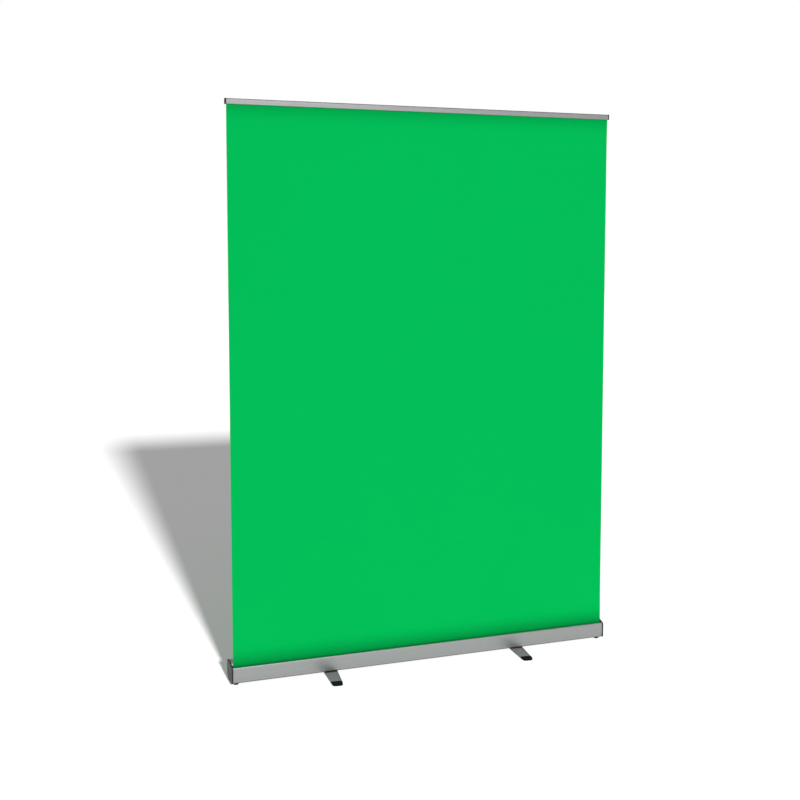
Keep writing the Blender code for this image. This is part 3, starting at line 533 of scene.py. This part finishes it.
FINISHES: dict[Slot, Finish] = {
    Slot.ALUMINIUM: DrawnMetal(
        "satin_anodised_extrusion",
        (0.300, 0.300, 0.306),
        0.42,
        0.5,
        # painted shade along the cassette's bottom edge
        dust_line=(0.0115, 0.0150),
        dust_shade=0.50,
    ),
    Slot.POLE: DrawnMetal("drawn_pole_tube", (0.62, 0.625, 0.635), 0.33, 0.5, lines=(900.0, 900.0, 1.5)),
    Slot.FOOT: Moulded(
        "grey_powder_coat", (0.192, 0.181, 0.192), 0.60, 0.20, grain=900.0, depth=0.00004, contrast=0.05
    ),
    Slot.STEEL: Plated("zinc_plate", (0.55, 0.55, 0.56), 0.32, 0.5),
    Slot.GREY_PLASTIC: Moulded("dark_grey_moulding", (0.022, 0.022, 0.024), 0.52, 0.20),
    Slot.BLACK_PLASTIC: Moulded("black_moulding", (0.005, 0.005, 0.005), 0.60, 0.06),
    Slot.RUBBER: Moulded("black_rubber", (0.007, 0.007, 0.007), 0.80, 0.08, grain=1100.0, depth=0.00008),
    Slot.FABRIC: WovenPolyester("green_screen_weave", (0.0, 0.445, 0.0848), 0.85, 0.02),
}


class Paint:
    """Makes each finish once and hands it out."""

    def __init__(self) -> None:
        """Build every finish's material."""
        self.materials = {slot: finish.build() for slot, finish in FINISHES.items()}

    def dress(self, piece: bpy.types.Object, slot: Slot) -> None:
        """Give a new piece its finish and its slot.

        Args:
            piece: The piece.
            slot: The slot that it takes its finish from.
        """
        piece.data.materials.clear()
        piece.data.materials.append(self.materials[slot])

    def dress_carried(self, nodes: dict[str, bpy.types.Object], slots: dict[str, Slot]) -> int:
        """Give every frame node that still shows its finish.

        Args:
            nodes: The frame's node objects, by name.
            slots: Each node's slot.

        Returns:
            How many nodes were dressed.
        """
        shown = [name for name, node in nodes.items() if not node.hide_render]
        for name in shown:
            node = nodes[name]
            for holder in node.material_slots:
                holder.material = self.materials[slots[name]]
        return len(shown)


# ---------------------------------------------------------------- making meshes


def arc(centre: Point, radius: float, start: float, end: float, steps: int) -> list[Point]:
    """Return points on an arc.

    Args:
        centre: The arc's centre.
        radius: Its radius.
        start: The first angle, in degrees.
        end: The last angle, in degrees.
        steps: How many straight steps it takes.

    Returns:
        The points, both ends included.
    """
    angles = [math.radians(start + (end - start) * i / steps) for i in range(steps + 1)]
    return [(centre[0] + radius * math.cos(a), centre[1] + radius * math.sin(a)) for a in angles]


def object_of(name: str, shape: bmesh.types.BMesh) -> bpy.types.Object:
    """Turn a bmesh into a linked object, and free the bmesh.

    Args:
        name: The object's name.
        shape: The bmesh.

    Returns:
        The new object.
    """
    bmesh.ops.recalc_face_normals(shape, faces=shape.faces)
    mesh = bpy.data.meshes.new(name)
    shape.to_mesh(mesh)
    shape.free()
    piece = bpy.data.objects.new(name, mesh)
    bpy.context.scene.collection.objects.link(piece)
    return piece


def applied(piece: bpy.types.Object) -> bpy.types.Object:
    """Apply a piece's modifiers.

    Args:
        piece: The piece.

    Returns:
        The same piece.
    """
    bpy.context.view_layer.update()
    graph = bpy.context.evaluated_depsgraph_get()
    mesh = bpy.data.meshes.new_from_object(piece.evaluated_get(graph))
    piece.modifiers.clear()
    piece.data = mesh
    mesh.name = piece.name
    return piece


def settle(piece: bpy.types.Object, sharp: float = 40.0) -> bpy.types.Object:
    """Apply a piece's modifiers and shade it smooth, with its sharp edges kept.

    Args:
        piece: The piece.
        sharp: The angle in degrees over which an edge stays sharp.

    Returns:
        The same piece.
    """
    mesh = applied(piece).data
    mesh.shade_smooth()
    mesh.set_sharp_from_angle(angle=math.radians(sharp))
    return piece


def level(piece: bpy.types.Object) -> bpy.types.Object:
    """Shade each corner by its largest faces, so that flat faces look flat up to their rounded edges.

    Args:
        piece: A settled piece.

    Returns:
        The same piece.
    """
    weights = piece.modifiers.new("level", "WEIGHTED_NORMAL")
    weights.mode = "FACE_AREA"
    weights.keep_sharp = True
    return applied(piece)


def soften(piece: bpy.types.Object, width: float, segments: int) -> bpy.types.Object:
    """Round a piece's edges.

    Args:
        piece: The piece.
        width: The rounding's width, in metres.
        segments: How many facets it has.

    Returns:
        The same piece.
    """
    bevel = piece.modifiers.new("soften", "BEVEL")
    bevel.width = width
    bevel.segments = segments
    bevel.limit_method = "ANGLE"
    bevel.angle_limit = math.radians(ROUNDED_OVER)
    bevel.miter_outer = "MITER_ARC"
    return piece


def cut(piece: bpy.types.Object, tool: bpy.types.Object) -> bpy.types.Object:
    """Cut a tool from a piece, and remove the tool.

    Args:
        piece: The piece.
        tool: The object whose shape is cut away.

    Returns:
        The same piece.
    """
    step = piece.modifiers.new("cut", "BOOLEAN")
    step.operation = "DIFFERENCE"
    step.solver = "EXACT"
    step.object = tool
    applied(piece)
    bpy.data.objects.remove(tool)
    return piece


def turned(
    name: str, profile: list[Point], centre: Vector, segments: int, closed: bool = True
) -> bpy.types.Object:
    """Turn a (radius, height) profile about an upright axis.

    Args:
        name: The object's name.
        profile: The profile's points.
        centre: A point on the axis, at height 0 of the profile.
        segments: How many steps go round.
        closed: Whether the profile's ends are joined, as on a tube.

    Returns:
        The turned piece.
    """
    shape = bmesh.new()
    points = [shape.verts.new((radius, 0, height)) for radius, height in profile]
    runs = list(zip(points, points[1:])) + ([(points[-1], points[0])] if closed else [])
    edges = [shape.edges.new(run) for run in runs]
    bmesh.ops.spin(
        shape,
        geom=points + edges,
        axis=(0, 0, 1),
        cent=(0, 0, 0),
        angle=math.tau,
        steps=segments,
        use_merge=True,
    )
    bmesh.ops.remove_doubles(shape, verts=shape.verts, dist=SEAM)
    bmesh.ops.translate(shape, vec=centre, verts=shape.verts)
    return object_of(name, shape)


def prism(name: str, outline: list[Point], low: float, high: float, frame: Matrix) -> bpy.types.Object:
    """Extrude an outline between two heights, then place it.

    Args:
        name: The object's name.
        outline: The outline's points, in order.
        low: The lower height.
        high: The upper height.
        frame: The matrix that places it.

    Returns:
        The prism.
    """
    shape = bmesh.new()
    base = shape.faces.new([shape.verts.new((x, y, low)) for x, y in outline])
    grown = bmesh.ops.extrude_face_region(shape, geom=[base])["geom"]
    top = [item for item in grown if isinstance(item, bmesh.types.BMVert)]
    bmesh.ops.translate(shape, vec=(0, 0, high - low), verts=top)
    bmesh.ops.transform(shape, matrix=frame, verts=shape.verts)
    return object_of(name, shape)


def rounded_rectangle(width: float, height: float, radius: float, steps: int) -> list[Point]:
    """Return a rounded rectangle about the origin.

    Args:
        width: Its width.
        height: Its height.
        radius: Its corners' radius.
        steps: Steps in each corner.

    Returns:
        The outline's points.
    """
    x, y = width / 2 - radius, height / 2 - radius
    corners = [((x, y), 0), ((-x, y), 90), ((-x, -y), 180), ((x, -y), 270)]
    return [point for centre, start in corners for point in arc(centre, radius, start, start + 90, steps)]


@dataclass
class Workshop:
    """What every sub-assembly needs: the frame's nodes, bodies, slots and joints, and the finishes.

    Attributes:
        nodes: The frame's node objects, by name.
        body_of: Each node's body.
        slot_of: Each node's material slot.
        joints: The frame's joints, by name; not used.
        paint: The finishes.
    """

    nodes: dict[str, bpy.types.Object]
    body_of: dict[str, str]
    slot_of: dict[str, Slot]
    joints: dict[str, dict]
    paint: Paint

    def traced(self, node: str, name: str) -> bpy.types.Object:
        """Copy a frame node's mesh into a new object, welded, with its flat facets joined.

        Args:
            node: The node.
            name: The new object's name.

        Returns:
            The new object, ready to be softened.
        """
        shape = bmesh.new()
        shape.from_mesh(self.nodes[node].data)
        bmesh.ops.remove_doubles(shape, verts=shape.verts, dist=WELD)
        limit = math.radians(FLAT)
        bmesh.ops.dissolve_limit(shape, angle_limit=limit, verts=shape.verts, edges=shape.edges)
        piece = object_of(name, shape)
        stored = piece.data.attributes.get("custom_normal")
        if stored:
            piece.data.attributes.remove(stored)
        return piece

    def fit(self, piece: bpy.types.Object, node: str) -> bpy.types.Object:
        """Dress a finished piece, let it ride on its node's body and stand for the node.

        Args:
            piece: The piece.
            node: The node that it stands for.

        Returns:
            The same piece.
        """
        self.paint.dress(piece, self.slot_of[node])
        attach(piece, self.body_of[node])
        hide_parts(node)
        LOG.info("%s: %d faces, on %s", piece.name, len(piece.data.polygons), self.body_of[node])
        return piece

    def refined(self, node: str, width: float, segments: int) -> bpy.types.Object:
        """Make a node's fine version: its own shape with rounded edges and smooth shading.

        Args:
            node: The node, whose name with _fine the piece takes.
            width: The rounding's width.
            segments: The rounding's facets.

        Returns:
            The new piece.
        """
        piece = soften(self.traced(node, f"{node}_fine"), width, segments)
        return self.fit(level(settle(piece)), node)


# ---------------------------------------------------------------- sub-assemblies


@dataclass(frozen=True)
class Wave:
    """A faint wave in the hanging cloth.

    Attributes:
        across: Radians per metre across.
        up: Radians over the whole height.
        phase: Where it starts, in radians.
        share: Its share of the ripple.
    """

    across: float
    up: float
    phase: float
    share: float

    def height(self, across: float, up: float) -> float:
        """Return its share of the ripple at a place.

        Args:
            across: The distance from the middle.
            up: The share of the height.

        Returns:
            The share, from -1 to 1.
        """
        return math.sin(across * self.across + up * self.up + self.phase) * self.share


@dataclass
class Banner:
    """The green sheet, from the roller up through the slot to the rail, and the turns on the roller.

    Attributes:
        shop: The workshop.
        thickness: The cloth's thickness.
        columns: Cells across.
        rows: Cells up.
        ripple: Half the height of the cloth's faint waves.
        waves: Those waves.
        rail_hold: The share of the height that the rail's grip keeps flat.
        slot_hold: The shares of the height where the slot's grip ends and the cloth hangs free.
        edge_curl: How far each side edge curls back.
        edge_width: How wide that curl is.
        fold: The angle in degrees over which a fold in the cloth would look sharp.
        turns: The turns of cloth on the roller.
        turn_steps: Cells in each turn.
        turn_pitch: The distance from one turn to the next.
    """

    shop: Workshop
    thickness: float = 0.0004
    columns: int = 90
    rows: int = 120
    ripple: float = 0.0007
    waves: tuple[Wave, ...] = (Wave(9.1, 1.7, 0.0, 0.6), Wave(3.3, -2.9, 1.1, 0.4))
    rail_hold: float = 0.06
    slot_hold: Point = (0.02, 0.09)
    edge_curl: float = 0.0012
    edge_width: float = 0.028
    fold: float = 60.0
    turns: int = 2
    turn_steps: int = 72
    turn_pitch: float = 0.00045

    def offset(self, across: float, up: float, width: float) -> float:
        """Return how far the cloth stands off its plane.

        Args:
            across: The distance from the middle.
            up: The share of its height, from 0 to 1.
            width: The sheet's width.

        Returns:
            The distance towards the back.
        """
        slot_end, free = self.slot_hold
        loose = min(1.0, (1 - up) / self.rail_hold) * min(1.0, max(0.0, up - slot_end) / (free - slot_end))
        loose = loose * loose * (3 - 2 * loose)
        wave = sum(wave.height(across, up) for wave in self.waves)
        near_edge = max(0.0, 1 - (width / 2 - abs(across)) / self.edge_width)
        return loose * (self.ripple * wave + self.edge_curl * near_edge * near_edge)

    def thicken(self, piece: bpy.types.Object) -> None:
        """Give a piece of cloth its thickness, half to each side.

        Args:
            piece: The cloth as an open surface.
        """
        cloth = piece.modifiers.new("thickness", "SOLIDIFY")
        cloth.thickness = self.thickness
        cloth.offset = 0.0
        settle(piece, self.fold)

    def sheet(self) -> bpy.types.Object:
        """Make the sheet.

        Returns:
            The sheet.
        """
        low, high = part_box("banner_sheet")
        width, height = high.x - low.x, high.z - low.z
        plane = (low.y + high.y) / 2
        shape = bmesh.new()
        bmesh.ops.create_grid(shape, x_segments=self.columns, y_segments=self.rows, size=0.5)
        for vert in shape.verts:
            across, up = vert.co.x * width, vert.co.y + 0.5
            vert.co = (across, plane + self.offset(across, up, width), low.z + up * height)
        piece = object_of("green_sheet", shape)
        self.thicken(piece)
        self.shop.fit(piece, "banner_sheet")
        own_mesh(piece)
        return piece

    def wound_turns(self) -> bpy.types.Object:
        """Make the turns of cloth that stay on the roller, as one spiral.

        Returns:
            The spiral of cloth.
        """
        low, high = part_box("banner_roll")
        tube_low, tube_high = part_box("roller_tube")
        middle = (low + high) / 2
        start = (tube_high.z - tube_low.z) / 2 + self.turn_pitch
        steps = self.turns * self.turn_steps
        shape = bmesh.new()
        ends = []
        for x in (low.x, high.x):
            row = []
            for step in range(steps + 1):
                share = step / self.turn_steps
                radius, angle = start + self.turn_pitch * share, math.pi - math.tau * share
                spot = (x, middle.y + radius * math.cos(angle), middle.z + radius * math.sin(angle))
                row.append(shape.verts.new(spot))
            ends.append(row)
        for left, right, right_next, left_next in zip(ends[0], ends[1], ends[1][1:], ends[0][1:]):
            shape.faces.new((left, right, right_next, left_next))
        piece = object_of("wound_turns", shape)
        self.thicken(piece)
        self.shop.fit(piece, "banner_roll")
        return piece

    def build(self) -> None:
        """Make the sheet and the turns on the roller."""
        self.sheet()
        self.wound_turns()


@dataclass
class CrossScrew:
    """A pan-head screw with a cross recess.

    Attributes:
        shop: The workshop.
        shank_radius: The shank's radius.
        head_height: The head's height.
        brim_share: The share of that height at the head's edge.
        crown_steps: Steps from the head's middle to its edge.
        slot_width: The width of the recess's arms.
        slot_share: The length of its arms, as a share of the head's width.
        slot_depth: Its depth.
        segments: Steps round the head.
    """

    shop: Workshop
    shank_radius: float = 0.0016
    head_height: float = 0.0018
    brim_share: float = 0.35
    crown_steps: int = 6
    slot_width: float = 0.0009
    slot_share: float = 0.62
    slot_depth: float = 0.0011
    segments: int = 32

    def profile(self, radius: float, length: float) -> list[Point]:
        """Return the screw's profile, head up, with its seat at height 0.

        Args:
            radius: The head's radius.
            length: The whole length.

        Returns:
            (radius, height) points.
        """
        angles = [math.pi / 2 * step / self.crown_steps for step in range(self.crown_steps + 1)]
        dome = self.head_height * (1 - self.brim_share)
        brim = self.head_height * self.brim_share
        crown = [(radius * math.sin(angle), brim + dome * math.cos(angle)) for angle in angles]
        shank = self.shank_radius
        foot = self.head_height - length
        return crown + [(radius, 0.0), (shank, 0.0), (shank, foot + shank), (0, foot)]

    def build(self, node: str, facing: Vector) -> bpy.types.Object:
        """Make the screw for a node.

        Args:
            node: The node.
            facing: The direction that its head faces.

        Returns:
            The screw.
        """
        low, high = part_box(node)
        size, middle = high - low, (low + high) / 2
        length = abs(size.dot(facing))
        radius = sorted(size)[1] / 2
        piece = turned(f"{node}_fine", self.profile(radius, length), Vector(), self.segments, closed=False)
        for turn in (0, 90):
            arm = rounded_rectangle(2 * radius * self.slot_share, self.slot_width, self.slot_width / 3, 2)
            place = Matrix.Rotation(math.radians(turn), 4, "Z")
            floor = self.head_height - self.slot_depth
            cut(piece, prism("recess", arm, floor, self.head_height * 2, place))
        seat = middle + facing * (length / 2 - self.head_height)
        aim = facing.to_track_quat("Z", "Y").to_matrix().to_4x4()
        piece.data.transform(Matrix.Translation(seat) @ aim)
        return self.shop.fit(settle(piece), node)


@dataclass
class Cassette:
    """The extruded housing, its two end caps and their screws, and the pads under it.

    Attributes:
        shop: The workshop.
        edge: The extrusion's edge rounding.
        cap_edge: The caps' edge rounding.
        pad_edge: The pads' edge rounding.
    """

    shop: Workshop
    edge: float = 0.00025
    cap_edge: float = 0.0009
    pad_edge: float = 0.0006

    def build(self) -> None:
        """Make every piece of the cassette."""
        self.shop.refined("cassette_body", self.edge, 1)
        screw = CrossScrew(self.shop)
        for side in Side:
            self.shop.refined(f"end_cap_{side.word}", self.cap_edge, 3)
            self.shop.refined(f"end_pad_{side.word}", self.pad_edge, 2)
            for place in ("front", "rear"):
                screw.build(f"end_cap_{side.word}_screw_{place}", Vector((side.value, 0, 0)))


@dataclass
class TopRail:
    """The rail's rear extrusion, its front jaw and its end caps.

    Attributes:
        shop: The workshop.
        edge: The extrusions' edge rounding.
        cap_edge: The caps' edge rounding.
    """

    shop: Workshop
    edge: float = 0.0002
    cap_edge: float = 0.0008

    def build(self) -> None:
        """Make every piece of the rail."""
        for node in ("rail_back", "rail_jaw"):
            self.shop.refined(node, self.edge, 1)
        for side in Side:
            self.shop.refined(f"rail_cap_{side.word}", self.cap_edge, 3)


class Ring(NamedTuple):
    """One ring of a turned form with grip ribs.

    Attributes:
        radius: Its radius.
        height: Its height.
        ribbed: Whether the ribs show on it.
    """

    radius: float
    height: float
    ribbed: bool = False


@dataclass
class Pole:
    """A telescopic pole: three tubes, two knurled twist locks, a flanged socket and a hook.

    Attributes:
        shop: The workshop.
        side: The pole's side.
        wall: The tubes' wall.
        lip: The rounding of the tubes' ends.
        segments: Steps round a tube.
        step: How much narrower a lock's nose is than its grip.
        ribs: Grip ribs round a lock.
        rib_depth: Their depth.
        rib_steps: Steps round the lock in each rib.
        rib_sharp: The angle in degrees over which a lock's edge stays sharp.
        lock_gap: The gap between a lock and its tube.
        moulding_edge: The rounding of the moulded pieces.
    """

    shop: Workshop
    side: Side
    wall: float = 0.0012
    lip: float = 0.0003
    segments: int = 56
    step: float = 0.0020
    ribs: int = 18
    rib_depth: float = 0.0008
    rib_steps: int = 8
    rib_sharp: float = 32.0
    lock_gap: float = 0.0003
    moulding_edge: float = 0.0007

    def box(self, tube: Tube) -> tuple[Vector, Vector]:
        """Return the low and high corners of a tube's node."""
        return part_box(f"pole_{self.side.word}_{tube.value}_tube")

    def radius_of(self, tube: Tube) -> float:
        """Return a tube's outer radius."""
        low, high = self.box(tube)
        return (high.x - low.x) / 2

    def axis(self) -> Vector:
        """Return the foot of the pole's upright axis, at height 0."""
        low, high = self.box(Tube.LOWER)
        return Vector(((low.x + high.x) / 2, (low.y + high.y) / 2, 0))

    def tube(self, tube: Tube) -> bpy.types.Object:
        """Make a tube with rounded ends.

        Args:
            tube: Which tube.

        Returns:
            The tube.
        """
        node = f"pole_{self.side.word}_{tube.value}_tube"
        low, high = self.box(tube)
        outer = self.radius_of(tube)
        inner = outer - self.wall
        lip = self.lip
        outside = [(outer, low.z + lip), (outer, high.z - lip), (outer - lip, high.z)]
        inside = [(inner + lip, high.z), (inner, high.z - lip), (inner, low.z + lip), (inner + lip, low.z)]
        profile = outside + inside + [(outer - lip, low.z)]
        return self.shop.fit(settle(turned(f"{node}_fine", profile, self.axis(), self.segments)), node)

    def lock(self, lock: Lock) -> bpy.types.Object:
        """Make a twist lock with grip ribs round its lower part.

        Args:
            lock: Which lock.

        Returns:
            The lock.
        """
        node = f"pole_{self.side.word}_{lock.word}_lock"
        outside, inside = lock.value
        low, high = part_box(node)
        tube_end = self.box(outside)[1].z
        grip = (high.x - low.x) / 2
        nose = grip - self.step
        bore = self.radius_of(outside) + self.lock_gap
        neck = self.radius_of(inside) + self.lock_gap
        edge = self.moulding_edge
        skirt = [
            Ring(grip - 2 * edge, low.z),
            Ring(grip - edge / 2, low.z + edge / 2),
            Ring(grip, low.z + 2 * edge),
        ]
        ribs = [
            Ring(grip, low.z + 3 * edge),
            Ring(grip, low.z + 4.5 * edge, ribbed=True),
            Ring(grip, tube_end - 3 * edge, ribbed=True),
            Ring(grip, tube_end - 1.5 * edge),
        ]
        shoulder = [
            Ring(grip, tube_end),
            Ring(grip - edge, tube_end + 2 * edge),
            Ring(nose + edge / 2, tube_end + 7 * edge),
            Ring(nose, tube_end + 9 * edge),
        ]
        rim = [
            Ring(nose, high.z - edge),
            Ring(nose - edge / 3, high.z - edge / 3),
            Ring(nose - edge, high.z),
        ]
        stop = tube_end + self.lock_gap
        hole = [Ring(neck, high.z), Ring(neck, stop), Ring(bore, stop), Ring(bore, low.z)]
        form = self.ribbed(f"{node}_fine", skirt + ribs + shoulder + rim + hole)
        return self.shop.fit(settle(form, self.rib_sharp), node)

    def ribbed(self, name: str, rings: list[Ring]) -> bpy.types.Object:
        """Make a closed form, turned about the pole's axis, whose marked rings have grip ribs.

        Args:
            name: The object's name.
            rings: The rings, once round the section.

        Returns:
            The form.
        """
        shape = bmesh.new()
        centre = self.axis()
        count = self.ribs * self.rib_steps
        loops = []
        for ring in rings:
            depth = self.rib_depth if ring.ribbed else 0.0
            loop = []
            for step in range(count):
                angle = math.tau * step / count
                hollow = 0.5 - 0.5 * math.cos(self.ribs * angle)
                reach = ring.radius - depth * hollow ** 2
                spot = (centre.x + reach * math.cos(angle), centre.y + reach * math.sin(angle), ring.height)
                loop.append(shape.verts.new(spot))
            loops.append(loop)
        for loop, after in zip(loops, loops[1:] + loops[:1]):
            for step in range(count):
                following = (step + 1) % count
                shape.faces.new((loop[step], loop[following], after[following], after[step]))
        return object_of(name, shape)

    def build(self) -> None:
        """Make every piece of the pole."""
        for tube in Tube:
            self.tube(tube)
        for lock in Lock:
            self.lock(lock)
        self.shop.refined(f"pole_{self.side.word}_socket", self.moulding_edge, 2)
        self.shop.refined(f"pole_{self.side.word}_hook", self.moulding_edge, 2)
        screw = CrossScrew(self.shop)
        for end in Side:
            screw.build(f"pole_{self.side.word}_socket_screw_{end.word}", Vector((0, 0, 1)))


@dataclass
class Foot:
    """A twist foot: its bar, two rounded tips and the pieces of its pivot.

    Attributes:
        shop: The workshop.
        side: The foot's side.
        bar_edge: The bar's edge rounding.
        tip_edge: The tips' edge rounding.
        steel_edge: The rounding of the bolt, nut and spacer.
    """

    shop: Workshop
    side: Side
    bar_edge: float = 0.0006
    tip_edge: float = 0.0007
    steel_edge: float = 0.0003

    def build(self) -> None:
        """Make every piece of the foot."""
        foot = f"foot_{self.side.word}"
        self.shop.refined(f"{foot}_bar", self.bar_edge, 2)
        for end in ("front", "back"):
            self.shop.refined(f"{foot}_tip_{end}", self.tip_edge, 2)
        for piece in ("pivot_bolt", "spacer", "nut"):
            self.shop.refined(f"{foot}_{piece}", self.steel_edge, 2)


# ---------------------------------------------------------------- studio


@dataclass(frozen=True)
class Sun:
    """A soft distant light.

    Attributes:
        name: Its name.
        turn: Where it stands round the stand, in degrees to the right of straight in front.
        height: How high it stands, in degrees.
        angle: How wide it is, in degrees.
        power: Its strength in watts per square metre.
        falls_on: What it lights.
        distance: How far off it hangs, which doesn't change its light.
    """

    name: str
    turn: float
    height: float
    angle: float
    power: float
    falls_on: LitSide = LitSide.STAND
    distance: float = 4.0

    def hang(self, floor: bpy.types.Object) -> None:
        """Put the light in the scene.

        Args:
            floor: The studio's floor, which the light falls on or leaves out.
        """
        data = bpy.data.lights.new(self.name, "SUN")
        data.energy = self.power
        data.angle = math.radians(self.angle)
        light = bpy.data.objects.new(self.name, data)
        turn, height = math.radians(self.turn), math.radians(self.height)
        out = math.cos(height)
        place = Vector((math.sin(turn) * out, -math.cos(turn) * out, math.sin(height)))
        light.rotation_euler = place.to_track_quat("Z", "Y").to_euler()
        light.location = place * self.distance
        bpy.context.scene.collection.objects.link(light)
        lit = bpy.data.collections.new(f"{self.name}_reach")
        lit.objects.link(floor)
        lit.collection_objects[0].light_linking.link_state = self.falls_on.value
        light.light_linking.receiver_collection = lit


@dataclass
class Studio:
    """The camera, the pale floor, the soft lights and the even air.

    Attributes:
        camera_place: Where the camera stands.
        turn: How far it is turned to the right, in degrees.
        tilt: How far it looks down, in degrees.
        lens: Its focal length in millimetres.
        sensor: Its sensor's width in millimetres.
        shift: Its vertical shift.
        floor_size: The floor's side.
        floor_tone: How much light it gives back.
        floor_glow: The light that shines up through it.
        floor_clouds: Features per metre of its faint clouds.
        floor_roughness: How matt it is.
        floor_gloss: The strength of its mirror share.
        air_light: How strongly the air lights the stand.
        suns: The distant lights.
    """

    camera_place: Triple = (-1.621, -4.121, 1.5735)
    turn: float = 20.26
    tilt: float = 4.97
    lens: float = 53.235
    sensor: float = 36.0
    shift: float = -0.0625
    floor_size: float = 60.0
    floor_tone: float = 0.62
    floor_glow: float = 0.11
    floor_clouds: float = 3.0
    floor_roughness: float = 0.9
    floor_gloss: float = 0.1
    air_light: float = 0.40
    suns: tuple[Sun, ...] = (
        Sun("front_sun", -1.5, 21.0, 30.0, 0.72),
        Sun("rail_sun", 15.0, 7.0, 12.0, 0.20),
        Sun("high_sun", 10.0, 84.0, 40.0, 2.30),
        Sun("floor_sun", -2.2, 20.5, 4.0, 11.3, LitSide.FLOOR),
    )

    def camera(self) -> None:
        """Set up the camera."""
        data = bpy.data.cameras.new("studio_camera")
        data.lens = self.lens
        data.sensor_width = self.sensor
        data.shift_y = self.shift
        camera = bpy.data.objects.new("studio_camera", data)
        camera.location = self.camera_place
        camera.rotation_euler = (math.radians(90 - self.tilt), 0, math.radians(-self.turn))
        bpy.context.scene.collection.objects.link(camera)
        bpy.context.scene.camera = camera

    def floor(self) -> bpy.types.Object:
        """Lay the floor.

        Returns:
            The floor.
        """
        shape = bmesh.new()
        bmesh.ops.create_grid(shape, x_segments=1, y_segments=1, size=self.floor_size / 2)
        floor = object_of("studio_floor", shape)
        graph = Graph("pale_floor")
        tone = graph.span(graph.noise((self.floor_clouds,) * 3, 2.0), 0.995, 1.005)
        graph.feed(graph.shader.inputs["Base Color"], graph.shaded((self.floor_tone,) * 3, tone))
        graph.feed(graph.shader.inputs["Emission Color"], (1.0, 1.0, 1.0, 1.0))
        graph.feed(graph.shader.inputs["Emission Strength"], self.floor_glow)
        graph.feed(graph.shader.inputs["Roughness"], self.floor_roughness)
        graph.feed(graph.shader.inputs["Specular IOR Level"], self.floor_gloss)
        floor.data.materials.append(graph.material)
        return floor

    def air(self) -> None:
        """Fill the room with even light, and leave what stands behind it white."""
        world = bpy.data.worlds.new("studio_air")
        world.use_nodes = True
        tree = world.node_tree
        seen = tree.nodes.new("ShaderNodeLightPath").outputs["Is Camera Ray"]
        strength = tree.nodes.new("ShaderNodeMapRange")
        tree.links.new(seen, strength.inputs["Value"])
        strength.inputs["To Min"].default_value = self.air_light
        strength.inputs["To Max"].default_value = 1.0
        background = tree.nodes["Background"]
        background.inputs["Color"].default_value = (1.0, 1.0, 1.0, 1.0)
        tree.links.new(strength.outputs["Result"], background.inputs["Strength"])
        bpy.context.scene.world = world

    def build(self) -> None:
        """Set up the camera, floor, lights and air."""
        self.camera()
        floor = self.floor()
        self.air()
        for sun in self.suns:
            sun.hang(floor)
        bpy.context.scene.view_settings.view_transform = "Standard"


def open_workshop(frame: dict) -> Workshop:
    """Read the nodes, bodies, slots and joints from the frame.

    Args:
        frame: The loaded frame.

    Returns:
        The workshop.
    """
    record = frame["record"]
    bodies = record["behaviour"]["bodies"]
    body_of = {node: body for body, nodes in bodies.items() for node in nodes}
    slot_of = {part["node"]: Slot(part["material_slot"]) for part in record["subparts"]}
    joints = {joint["name"]: joint for joint in frame["joints"]}
    return Workshop(frame["nodes"], body_of, slot_of, joints, Paint())


def main() -> None:
    """Build the stand's looks round the frame."""
    logging.basicConfig(level=logging.INFO, format="%(name)s: %(message)s")
    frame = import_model()
    shop = open_workshop(frame)
    Studio().build()
    Banner(shop).build()
    Cassette(shop).build()
    TopRail(shop).build()
    for side in Side:
        Pole(shop, side).build()
        Foot(shop, side).build()
    LOG.info("%d nodes carried over", shop.paint.dress_carried(shop.nodes, shop.slot_of))


if __name__ == "__main__":
    main()
